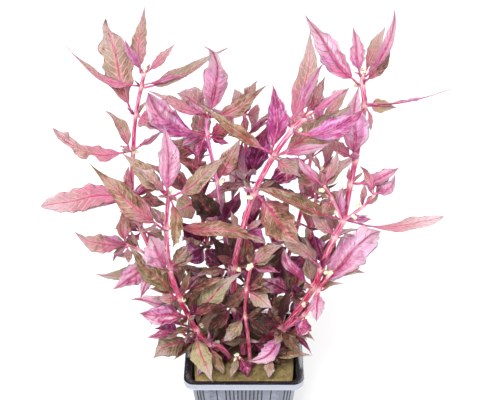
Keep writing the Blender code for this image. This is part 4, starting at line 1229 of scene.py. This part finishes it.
def hull_round(nodes):
    """The planes of the tight hull round the solids of some nodes, each as its way out and a point on it."""
    bm = bmesh.new()
    for node in nodes:
        bm.from_mesh(frame["nodes"][node].data)
    middle = sum((vert.co for vert in bm.verts), Vector()) / len(bm.verts)
    planes = []
    for face in bmesh.ops.convex_hull(bm, input=bm.verts)["geom"]:
        if isinstance(face, bmesh.types.BMFace):
            center = face.calc_center_median()
            normal = face.normal.copy()
            planes.append((-normal if normal.dot(middle - center) > 0 else normal, center))
    bm.free()
    return planes


def has_room(leaf, planes):
    """Whether a leaf's tip is within its stem's reach and the leaf is clear of solids and young leaves."""
    if any(normal.dot(leaf.tip - center) > 0 for normal, center in planes):
        return False
    for share in (0.4, 0.6, 0.8, 1.0):
        point, way = curve_at(leaf, share)
        side = leaf.upper.cross(way) * (leaf.width * YOUNG_SPREAD if share < 1 else 0)
        for place in (point - side, point, point + side):
            if solids.find_nearest(place)[3] < YOUNG_ROOM or place.z < WOOL_TOP + YOUNG_ROOM:
                return False
        if any((point - other).length < YOUNG_APART for other in taken):
            return False
    return True


# %% The young leaves of a stem
YOUNG_TRIES = 60
YOUNG_SHORTER = 0.5
YOUNG_RISES = (0.15, 1.1)
YOUNG_WIDTHS = (0.3, 0.44)
YOUNG_LEAST = 7
YOUNG_MORE = 17
BARE_ABOVE = 320 * MM
THICK_BELOW = 170 * MM
TUFT_LEAST = 0.6
TUFT_MORE = 4
FOOT_TUFT = 8
FOOT_LENGTHS = (13, 26)
BACK_STEMS = 28 * MM
BACK_LONGER = 1.4
INSIDE_STEM = 0.8


def young_leaf(center, axis, radius, full_length, planes, draw):
    """A young leaf that grows from a stem, or None where there is no room for it."""
    for count in range(YOUNG_TRIES):
        length = full_length * (1 - YOUNG_SHORTER * count / YOUNG_TRIES)
        out = axis.orthogonal().normalized()
        out.rotate(Matrix.Rotation(draw.uniform(0, 2 * math.pi), 3, axis))
        rise = draw.uniform(*YOUNG_RISES)
        way = out * math.cos(rise) + axis * math.sin(rise)
        base = center + out * (radius * INSIDE_STEM)
        tip = base + way * length
        control = base.lerp(tip, 0.5) + axis * length * draw.uniform(-0.05, 0.2)
        upper = (axis - axis.project(way)).normalized()
        width = length * draw.uniform(*YOUNG_WIDTHS)
        leaf = Leaf(base, control, tip, width, upper, draw.randrange(10 ** 6), None)
        if has_room(leaf, planes):
            taken.extend(curve_at(leaf, share)[0] for share in (0.5, 0.75, 1.0))
            return leaf
    return None


def young_leaves(name, line):
    """The young leaves of a stem: many and long ones near the wool, few and short ones high up. Each has its
    own row of random numbers, so that one leaf more or less doesn't change the others."""
    found = []
    own = [leaf for leaf in leaf_nodes if stem_of(leaf)[0] == name.removeprefix("stem_")]
    planes = hull_round([name] + own)
    for index in filter(line.is_node, range(1, len(line.points))):
        center, axis, radius = line.node(index // 2 - line.bare + 1)
        low = kept_in((BARE_ABOVE - center.z) / (BARE_ABOVE - THICK_BELOW))
        longer = BACK_LONGER if center.y > BACK_STEMS else 1
        for count in range(round(TUFT_LEAST + TUFT_MORE * low)):
            draw = random.Random(f"{name} {index} {count}")
            length = (YOUNG_LEAST + YOUNG_MORE * low * draw.uniform(0.5, 1.1)) * MM * longer
            found.append(young_leaf(center, axis, radius, length, planes, draw))
    if line.planted:
        soil, above = line.points[1:3]
        for count in range(FOOT_TUFT):
            draw = random.Random(f"{name} foot {count}")
            center = soil.lerp(above, draw.uniform(0.1, 1.0))
            length = draw.uniform(*FOOT_LENGTHS) * MM
            found.append(young_leaf(center, (above - soil).normalized(), line.radius, length, planes, draw))
    return [leaf for leaf in found if leaf]


print("young leaves round each foot: up to", FOOT_TUFT)

# %% Build the stems
YOUNG_GRID = (4, 9)
YOUNG_SHARES = (0.0, 0.2, 0.6)
YOUNG_SIDES = 3
YOUNG_RIPPLE = 0.1

young_count = 0
for node in stem_nodes:
    line = lines[node.removeprefix("stem_")]
    bm = plant_mesh()
    add_stem(bm, line)
    for leaf in small_leaves[node]:
        traits = traits_of(leaf)
        add_blade(bm, leaf, traits, SMALL_GRID)
        add_rib(bm, leaf, traits, line)
    for leaf in young_leaves(node, line):
        traits = traits_of(leaf)._replace(ripple=YOUNG_RIPPLE, waves=1.0)
        add_blade(bm, leaf, traits, YOUNG_GRID)
        add_rib(bm, leaf, traits, line, YOUNG_SHARES, YOUNG_SIDES)
        young_count += 1
    draw = random.Random(node)
    for middle in head_middles[node]:
        add_head(bm, middle, draw)
    keep(node.replace("stem_", "shoot_"), bm, PLANT_MATERIALS, "stem_skin", node)
print("stems built:", len(stem_nodes), "with", young_count, "young leaves")

# %% [markdown]
# ## The pot
#
# The pot is one moulding of thin black plastic. Its wall is a stack of rounded squares, from the foot up the
# outside, over the rim and down the inside. Narrow grooves run down each side: a bundle in the middle, one
# alone on each side of it and three at each corner. Cutting them out with another shape would leave long
# thin faces, so they are made by moving some of a ring's corners in.

# %% Grooves round the pot
BODY_TOP_HALF = 41.3 * MM
BODY_CORNER = 7 * MM
GROOVE_HALF = 0.55 * MM
BUNDLE = [(-14.4 + 3.2 * k) * MM for k in range(10)]
LONE_GROOVE = 21.6 * MM
CORNER_BUNDLE = [s * MM for s in (32.4, 34.9, 37.3)]
GROOVES = sorted([-c for c in CORNER_BUNDLE] + [-LONE_GROOVE] + BUNDLE + [LONE_GROOVE] + CORNER_BUNDLE)
CORNER_TURN = math.pi / 4
SIDE_RUN = BODY_TOP_HALF - BODY_CORNER + BODY_CORNER * CORNER_TURN


def side_shares():
    """Where a ring's corners lie along half a side, as shares of the run, and which are pressed in."""
    shares = [(-1.0, 0)]
    for groove in GROOVES:
        for offset, depth in ((-1.0, 0), (-0.5, 1), (0.5, 1), (1.0, 0)):
            shares.append(((groove + offset * GROOVE_HALF) / SIDE_RUN, depth))
    return shares


def pot_ring(half, corner, height, groove):
    """A ring of the wall: four sides, each with its grooves, and round corners between them. With each
    corner goes whether it is pressed in."""
    ring = []
    straight = half - corner
    run = straight + corner * CORNER_TURN
    for quarter in range(4):
        turn = Matrix.Rotation(quarter * math.pi / 2, 3, "Z")
        for share, pressed in side_shares():
            walked = abs(share) * run
            angle = max(walked - straight, 0) / corner
            out = half - corner * (1 - math.cos(angle))
            across = min(walked, straight) + corner * math.sin(angle)
            normal = Vector((math.sin(angle), -math.cos(angle), 0))
            place = Vector((across, -out, 0)) - normal * (groove * pressed)
            place.x = math.copysign(place.x, share)
            ring.append((turn @ (place + Vector((0, 0, height))), pressed))
    return ring


print("grooves on each side of the pot:", len(GROOVES))

# %% The levels of the wall
# A level is half the pot's width there, the radius of its corners and its height
BODY_FOOT_HALF = 32 * MM
RIM_HALF = 46 * MM
RIM_CORNER = 9 * MM
RIM_DEPTH = 6 * MM
RIM_TOP_WIDTH = 4.5 * MM
RIM_LEAN = 0.5 * MM
RIM_EDGE = 0.8 * MM
RIM_EDGE_STEPS = 5
POT_WALL = 1.3 * MM
POT_FLOOR = 1.8 * MM
FOOT_BEVEL = 1.5 * MM
FOOT_STEPS = 4
WALL_HEIGHTS = (3, 5, 7, 9, 12, 20, 32, 44, 56, 68, 76, 78.7)


def foot_levels():
    """A quarter circle from the underside to the wall."""
    levels = []
    for step in range(FOOT_STEPS + 1):
        turn = step / FOOT_STEPS * math.pi / 2
        inset = FOOT_BEVEL * (1 - math.sin(turn))
        levels.append((BODY_FOOT_HALF - inset, BODY_CORNER - inset, FOOT_BEVEL * (1 - math.cos(turn))))
    return levels


def wall_levels():
    levels = []
    for height in WALL_HEIGHTS:
        share = height * MM / POT_HEIGHT
        half = BODY_FOOT_HALF + (BODY_TOP_HALF - BODY_FOOT_HALF) * share
        levels.append((half, BODY_CORNER, height * MM))
    return levels


def rim_edge(first, last):
    """The rounded outer edge of the rim, from one step of it to another."""
    levels = []
    for step in range(first, last + 1):
        turn = step / RIM_EDGE_STEPS * math.pi / 2
        inset = RIM_EDGE * (1 - math.cos(turn))
        levels.append((RIM_HALF - inset, RIM_CORNER - inset, POT_HEIGHT - RIM_EDGE * (1 - math.sin(turn))))
    return levels


print("across the rim the pot is", round(2 * RIM_HALF / MM), "mm wide")

# %% The rim and the inside
def under_rim_levels():
    """The hollow underside of the rim, from the wall out and down to its lower edge."""
    skirt = RIM_HALF - POT_WALL
    corner = RIM_CORNER - POT_WALL
    under = POT_HEIGHT - POT_WALL
    down = POT_HEIGHT - RIM_DEPTH
    return [
        (BODY_TOP_HALF + 0.6 * MM, BODY_CORNER, under),
        (skirt - 0.3 * MM, corner, under),
        (skirt, corner, under - 0.3 * MM),
        (skirt - RIM_LEAN, corner, down + 0.2 * MM),
        (skirt - RIM_LEAN + 0.2 * MM, corner, down),
    ]


def rim_face_levels():
    """The rim's outer face, with a shallow step near its lower edge."""
    down = POT_HEIGHT - RIM_DEPTH
    return [
        (RIM_HALF - RIM_LEAN - 0.3 * MM, RIM_CORNER, down),
        (RIM_HALF - RIM_LEAN, RIM_CORNER, down + 0.3 * MM),
        (RIM_HALF - RIM_LEAN * 0.8, RIM_CORNER, down + 1.1 * MM),
        (RIM_HALF - RIM_LEAN * 1.3, RIM_CORNER, down + 1.4 * MM),
        (RIM_HALF - RIM_LEAN * 0.9, RIM_CORNER, POT_HEIGHT - 2 * RIM_EDGE),
    ]


def inside_levels():
    """From the rim's top over its soft inner edge and down the inside to the floor."""
    inner = BODY_TOP_HALF - POT_WALL
    inner_foot = BODY_FOOT_HALF - POT_WALL
    corner = BODY_CORNER - POT_WALL
    return [
        (inner + 2.2 * MM, BODY_CORNER, POT_HEIGHT),
        (inner + 1.4 * MM, BODY_CORNER, POT_HEIGHT - 0.2 * MM),
        (inner + 0.8 * MM, BODY_CORNER - 0.5 * MM, POT_HEIGHT - 0.9 * MM),
        (inner, corner, POT_HEIGHT - RIM_TOP_WIDTH),
        (inner_foot + 0.7 * MM, corner, POT_FLOOR + 6 * MM),
        (inner_foot, corner, POT_FLOOR + 0.6 * MM),
        (inner_foot - 0.6 * MM, corner, POT_FLOOR),
    ]


# The wall in stretches: its levels, its painted light and whether its grooves are pressed in. The painted
# light runs from -1, a painted reflection on the rim's outer face, to 1, painted black shade on the rim's top
# and inside
LIT_EDGE = 2
PLAIN, PAINTED_REFLECTION, PAINTED_SHADE = 0.0, -1.0, 1.0
STRETCHES = (
    (foot_levels(), PLAIN, False),
    (wall_levels(), PLAIN, True),
    (under_rim_levels(), PLAIN, False),
    (rim_face_levels() + rim_edge(0, LIT_EDGE), PAINTED_REFLECTION, False),
    (rim_edge(LIT_EDGE + 1, RIM_EDGE_STEPS) + inside_levels(), PAINTED_SHADE, False),
)
print("levels of the pot's wall:", sum(len(levels) for levels, _, _ in STRETCHES))

# %% [markdown]
# The plastic is glossy and slightly streaked by its flow into the mould, which runs up the wall, so that
# noise is stretched along Z. It is paler grey in worn patches, and on the rim's outer face, where the grey
# is a painted reflection. Black on the rim's top, in the grooves and inside is painted shade. The wall's own
# corners say which is which.


# %% Pot plastic
def pot_finish():
    recipe = Recipe("pot_plastic")
    x, y, z = recipe.apart(recipe.place())
    flow = recipe.noise(160.0, recipe.together(x, y, recipe.times(z, 0.06)), 4.0, 0.6)
    worn = recipe.noise(45.0, detail=5.0, roughness=0.65)
    dust = recipe.noise(700.0, detail=2.0)
    painted_shade_and_reflection = recipe.painted("painted_shade_and_reflection").outputs["Fac"]
    color = recipe.layered(
        (94, 98, 112),
        (recipe.step(flow, 0.3, 0.7), (124, 130, 144)),
        (recipe.step(worn, 0.5, 0.72, 0.0, 0.5), (144, 150, 164)),
        # Painted reflection on the rim's outer face
        (recipe.step(painted_shade_and_reflection, PLAIN, PAINTED_REFLECTION), (164, 170, 184)),
        # Painted shade: black in the pressed grooves, on the rim's top and down the inside
        (recipe.step(painted_shade_and_reflection, 0.15, 0.85), (26, 26, 34)),
        (recipe.step(dust, 0.66, 0.8, 0.0, 0.3), (150, 146, 140)))
    rough = recipe.plus(recipe.scaled(worn, 0.28, 0.12), recipe.step(dust, 0.6, 0.8, 0.0, 0.2))
    recipe.bump(recipe.plus(flow, recipe.times(dust, 0.15)), 0.12, 0.3 * MM)
    return recipe.finish(color, rough, Coat_Weight=0.3, Coat_Roughness=0.12)


pot_plastic = pot_finish()
print("pot plastic:", len(pot_plastic.node_tree.nodes), "shader nodes")

# %% Raise the pot's wall
GROOVE_DEPTH = 0.6 * MM
GROOVE_FADE = 9 * MM
GROOVE_START = 0.4

bm = bmesh.new()
painted_shade_and_reflection = bm.verts.layers.float.new("painted_shade_and_reflection")
ring = bmesh.ops.create_circle(bm, cap_ends=True, radius=MM, segments=4 * len(side_shares()))["verts"]
raised_levels = 0
for levels, shade, grooved in STRETCHES:
    for half, corner, height in levels:
        if raised_levels:
            ring = next_ring(bm, ring)
        fade = kept_in(height / GROOVE_FADE - GROOVE_START) if grooved else 0
        for vert, (place, pressed) in zip(ring, pot_ring(half, corner, height, GROOVE_DEPTH * fade)):
            vert.co = place
            # Pressed grooves carry painted shade, which the finish turns black
            vert[painted_shade_and_reflection] = shade + pressed * fade
        raised_levels += 1
bmesh.ops.contextual_create(bm, geom=loop_edges(bm, ring))
bmesh.ops.recalc_face_normals(bm, faces=bm.faces)
drilled = put("drilled", mesh_from("pot", bm))
print("levels raised:", raised_levels)

# %% Drill the drains and finish the pot
DRAIN_PLACE = 16 * MM
DRAIN_RADIUS = 3.5 * MM
DRAIN_SIDES = 32
SHARP_ANGLE = math.radians(32)


def evaluated_mesh(thing):
    """A mesh of an object as its modifiers or its bevel leave it."""
    return bpy.data.meshes.new_from_object(thing.evaluated_get(bpy.context.evaluated_depsgraph_get()))


bm = bmesh.new()
for x in (-DRAIN_PLACE, DRAIN_PLACE):
    for y in (-DRAIN_PLACE, DRAIN_PLACE):
        made = bmesh.ops.create_cone(bm, cap_ends=True, segments=DRAIN_SIDES, radius1=DRAIN_RADIUS,
                                     radius2=DRAIN_RADIUS, depth=4 * POT_FLOOR)["verts"]
        bmesh.ops.translate(bm, verts=made, vec=(x, y, 0))
drills = put("drills", mesh_from("drills", bm))
cut = drilled.modifiers.new("drains", "BOOLEAN")
cut.operation = "DIFFERENCE"
cut.solver = "EXACT"
cut.object = drills
mesh = evaluated_mesh(drilled)
bpy.data.objects.remove(drilled)
bpy.data.objects.remove(drills)
mesh.materials.clear()
mesh.materials.append(pot_plastic)
mesh.shade_smooth()
mesh.set_sharp_from_angle(angle=SHARP_ANGLE)
pot = put("pot_moulding", mesh)
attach(pot, "root")
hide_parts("pot")
print("pot faces:", len(mesh.polygons))

# %% [markdown]
# ## The rock wool
#
# The plug is a soft mat of mineral fibres, olive-yellow, darkened towards the back under the leaves by
# painted shade. Its top is a grid folded over at the edge, lumpy at three sizes. Noise alone would look like
# sand, so short stiff fibres lie all over it.


# %% Rock wool finish
def wool_finish():
    recipe = Recipe("rock_wool")
    broad = recipe.noise(70.0, detail=4.0, roughness=0.6)
    fine = recipe.noise(600.0, detail=4.0, roughness=0.7)
    grain = recipe.noise(2600.0, detail=2.0)
    # Painted shade: the wool darkens towards the back, under the leaves
    painted_shade_behind = recipe.step(recipe.apart(recipe.place())[1], -30 * MM, 0.0, 0.0, 0.8)
    color = recipe.layered(
        (124, 104, 62),
        (recipe.step(broad, 0.35, 0.65), (172, 152, 96)),
        (recipe.step(fine, 0.5, 0.3, 0.0, 0.75), (74, 62, 36)),
        (recipe.step(fine, 0.55, 0.75, 0.0, 0.6), (216, 202, 140)),
        (recipe.step(grain, 0.55, 0.8, 0.0, 0.5), (222, 208, 164)),
        (painted_shade_behind, (52, 34, 26)))
    recipe.bump(recipe.scaled(fine, 1.0, recipe.times(grain, 0.5)), 0.8, 0.8 * MM)
    return recipe.finish(color, 0.95)


rock_wool = wool_finish()
print("rock wool:", len(rock_wool.node_tree.nodes), "shader nodes")

# %% The wool's top and sides
WOOL_TOP_HALF = 39.3 * MM
WOOL_TAPER = 0.75
WOOL_CORNER_PULL = 0.05
WOOL_GRID = 96
WOOL_WAVE = 0.7 * MM
# The lumps of two sizes: how high they stand, how many to the metre and which layer of the noise they read
WOOL_LUMPS = ((0.45 * MM, 230, 0.3), (0.25 * MM, 700, 0.7))
TOP_SHARE = 0.8
EDGE_FROM = 0.9
EDGE_DROP = 96 * MM
GAP = 0.3 * MM


def wool_height(x, y):
    """The wool's top: the solid's slow waves with lumps of two smaller sizes."""
    wave = WOOL_WAVE * math.sin(210 * x + 1.3) * math.cos(170 * y + 0.4)
    lumps = sum(size * noise.noise(Vector((x, y, layer)) * count) for size, count, layer in WOOL_LUMPS)
    return WOOL_TOP + wave + lumps


def wool_place(x, y):
    """Where a point of the flat sheet goes. Its middle is the top, and what is past that folds down."""
    reach = max(abs(x), abs(y))
    shrink = TOP_SHARE / reach if reach > TOP_SHARE else 1
    x, y = (c * shrink / TOP_SHARE * WOOL_TOP_HALF for c in (x, y))
    pull = 1 - WOOL_CORNER_PULL * (abs(x * y) / WOOL_TOP_HALF ** 2) ** 2
    x, y = x * pull, y * pull
    edge = max(abs(x), abs(y)) / WOOL_TOP_HALF
    top = wool_height(x, y) - EDGE_DROP * max(edge - EDGE_FROM, 0) ** 2
    down = max(reach - TOP_SHARE, 0) / (1 - TOP_SHARE)
    taper = 1 - (1 - WOOL_TAPER) * down
    return Vector((x * taper, y * taper, top + (POT_FLOOR + GAP - top) * down))


wool = bmesh.new()
bmesh.ops.create_grid(wool, x_segments=WOOL_GRID, y_segments=WOOL_GRID, size=1)
for vert in wool.verts:
    vert.co = wool_place(vert.co.x, vert.co.y)
bmesh.ops.contextual_create(wool, geom=[edge for edge in wool.edges if edge.is_boundary])
bmesh.ops.recalc_face_normals(wool, faces=wool.faces)
print("faces of the wool:", len(wool.faces))

# %% Strew the fibres
FIBRES = 2600
FIBRE_RADIUS = 0.07 * MM
FIBRE_POINTS = 4
FIBRE_SUNK = 0.1 * MM
FIBRE_LENGTHS = (1.5, 5.0)
FIBRE_RISES = (-0.2, 0.8)
FIBRE_BENDS = (-0.6, 0.6)

draw = random.Random("fibres")
fibres = bpy.data.curves.new("fibres", "CURVE")
fibres.dimensions = "3D"
fibres.bevel_depth = FIBRE_RADIUS
fibres.bevel_resolution = 0
inside = WOOL_TOP_HALF * (1 - WOOL_CORNER_PULL)
for _ in range(FIBRES):
    x, y = (draw.uniform(-inside, inside) for _ in range(2))
    heading = draw.uniform(0, 2 * math.pi)
    length = draw.uniform(*FIBRE_LENGTHS) * MM
    rise = draw.uniform(*FIBRE_RISES) * MM
    bend = draw.uniform(*FIBRE_BENDS)
    spline = fibres.splines.new("POLY")
    spline.points.add(FIBRE_POINTS - 1)
    for step, point in enumerate(spline.points):
        share = step / (FIBRE_POINTS - 1)
        turn = heading + bend * share
        px = min(max(x + math.cos(turn) * length * (share - 0.5), -inside), inside)
        py = min(max(y + math.sin(turn) * length * (share - 0.5), -inside), inside)
        arch = rise * share * (1 - share) * 4
        point.co = (px, py, wool_height(px, py) + arch - FIBRE_SUNK, 1)
strewn = put("fibres", fibres)
wool.from_mesh(evaluated_mesh(strewn))
bpy.data.objects.remove(strewn)
print("faces of the wool and its fibres:", len(wool.faces))
keep("wool_mat", wool, [rock_wool], "wool_fibre", "rock_wool")

# %% [markdown]
# ## The floor and the light
#
# The plant stands in plain soft light from all round, on a pale floor. A broad key lamp in front gives the
# leaves their shading, a weak one fills in from the right, and one from behind lights the edges of the
# leaves.

# %% Floor, sky and lamps
FLOOR_HALF = 6
SKY_STRENGTH = 0.58
MIDDLE = Vector((0, 0, 0.2))

floor_recipe = Recipe("floor")
floor_recipe.finish(rgb(250, 250, 250), 0.9)
bm = bmesh.new()
bmesh.ops.create_grid(bm, x_segments=1, y_segments=1, size=FLOOR_HALF)
floor_mesh = mesh_from("floor", bm)
floor_mesh.materials.append(floor_recipe.material)
floor = put("floor", floor_mesh)

world = bpy.data.worlds.new("sky")
world.use_nodes = True
world.node_tree.nodes["Background"].inputs["Color"].default_value = (1, 1, 1, 1)
world.node_tree.nodes["Background"].inputs["Strength"].default_value = SKY_STRENGTH
bpy.context.scene.world = world
bpy.context.scene.view_settings.view_transform = "Standard"


def lamp(name, place, size, power):
    """A square lamp, aimed at the middle of the plant."""
    data = bpy.data.lights.new(name, "AREA")
    data.size = size
    data.energy = power
    aim(put(name, data), place, MIDDLE - Vector(place))


lamp("key", (-0.45, -1.3, 1.9), 1.0, 46)
lamp("fill", (1.3, -1.0, 1.0), 1.0, 9)
lamp("rim", (0.3, 1.4, 1.5), 0.9, 18)
print("lamps:", len(bpy.data.lights))
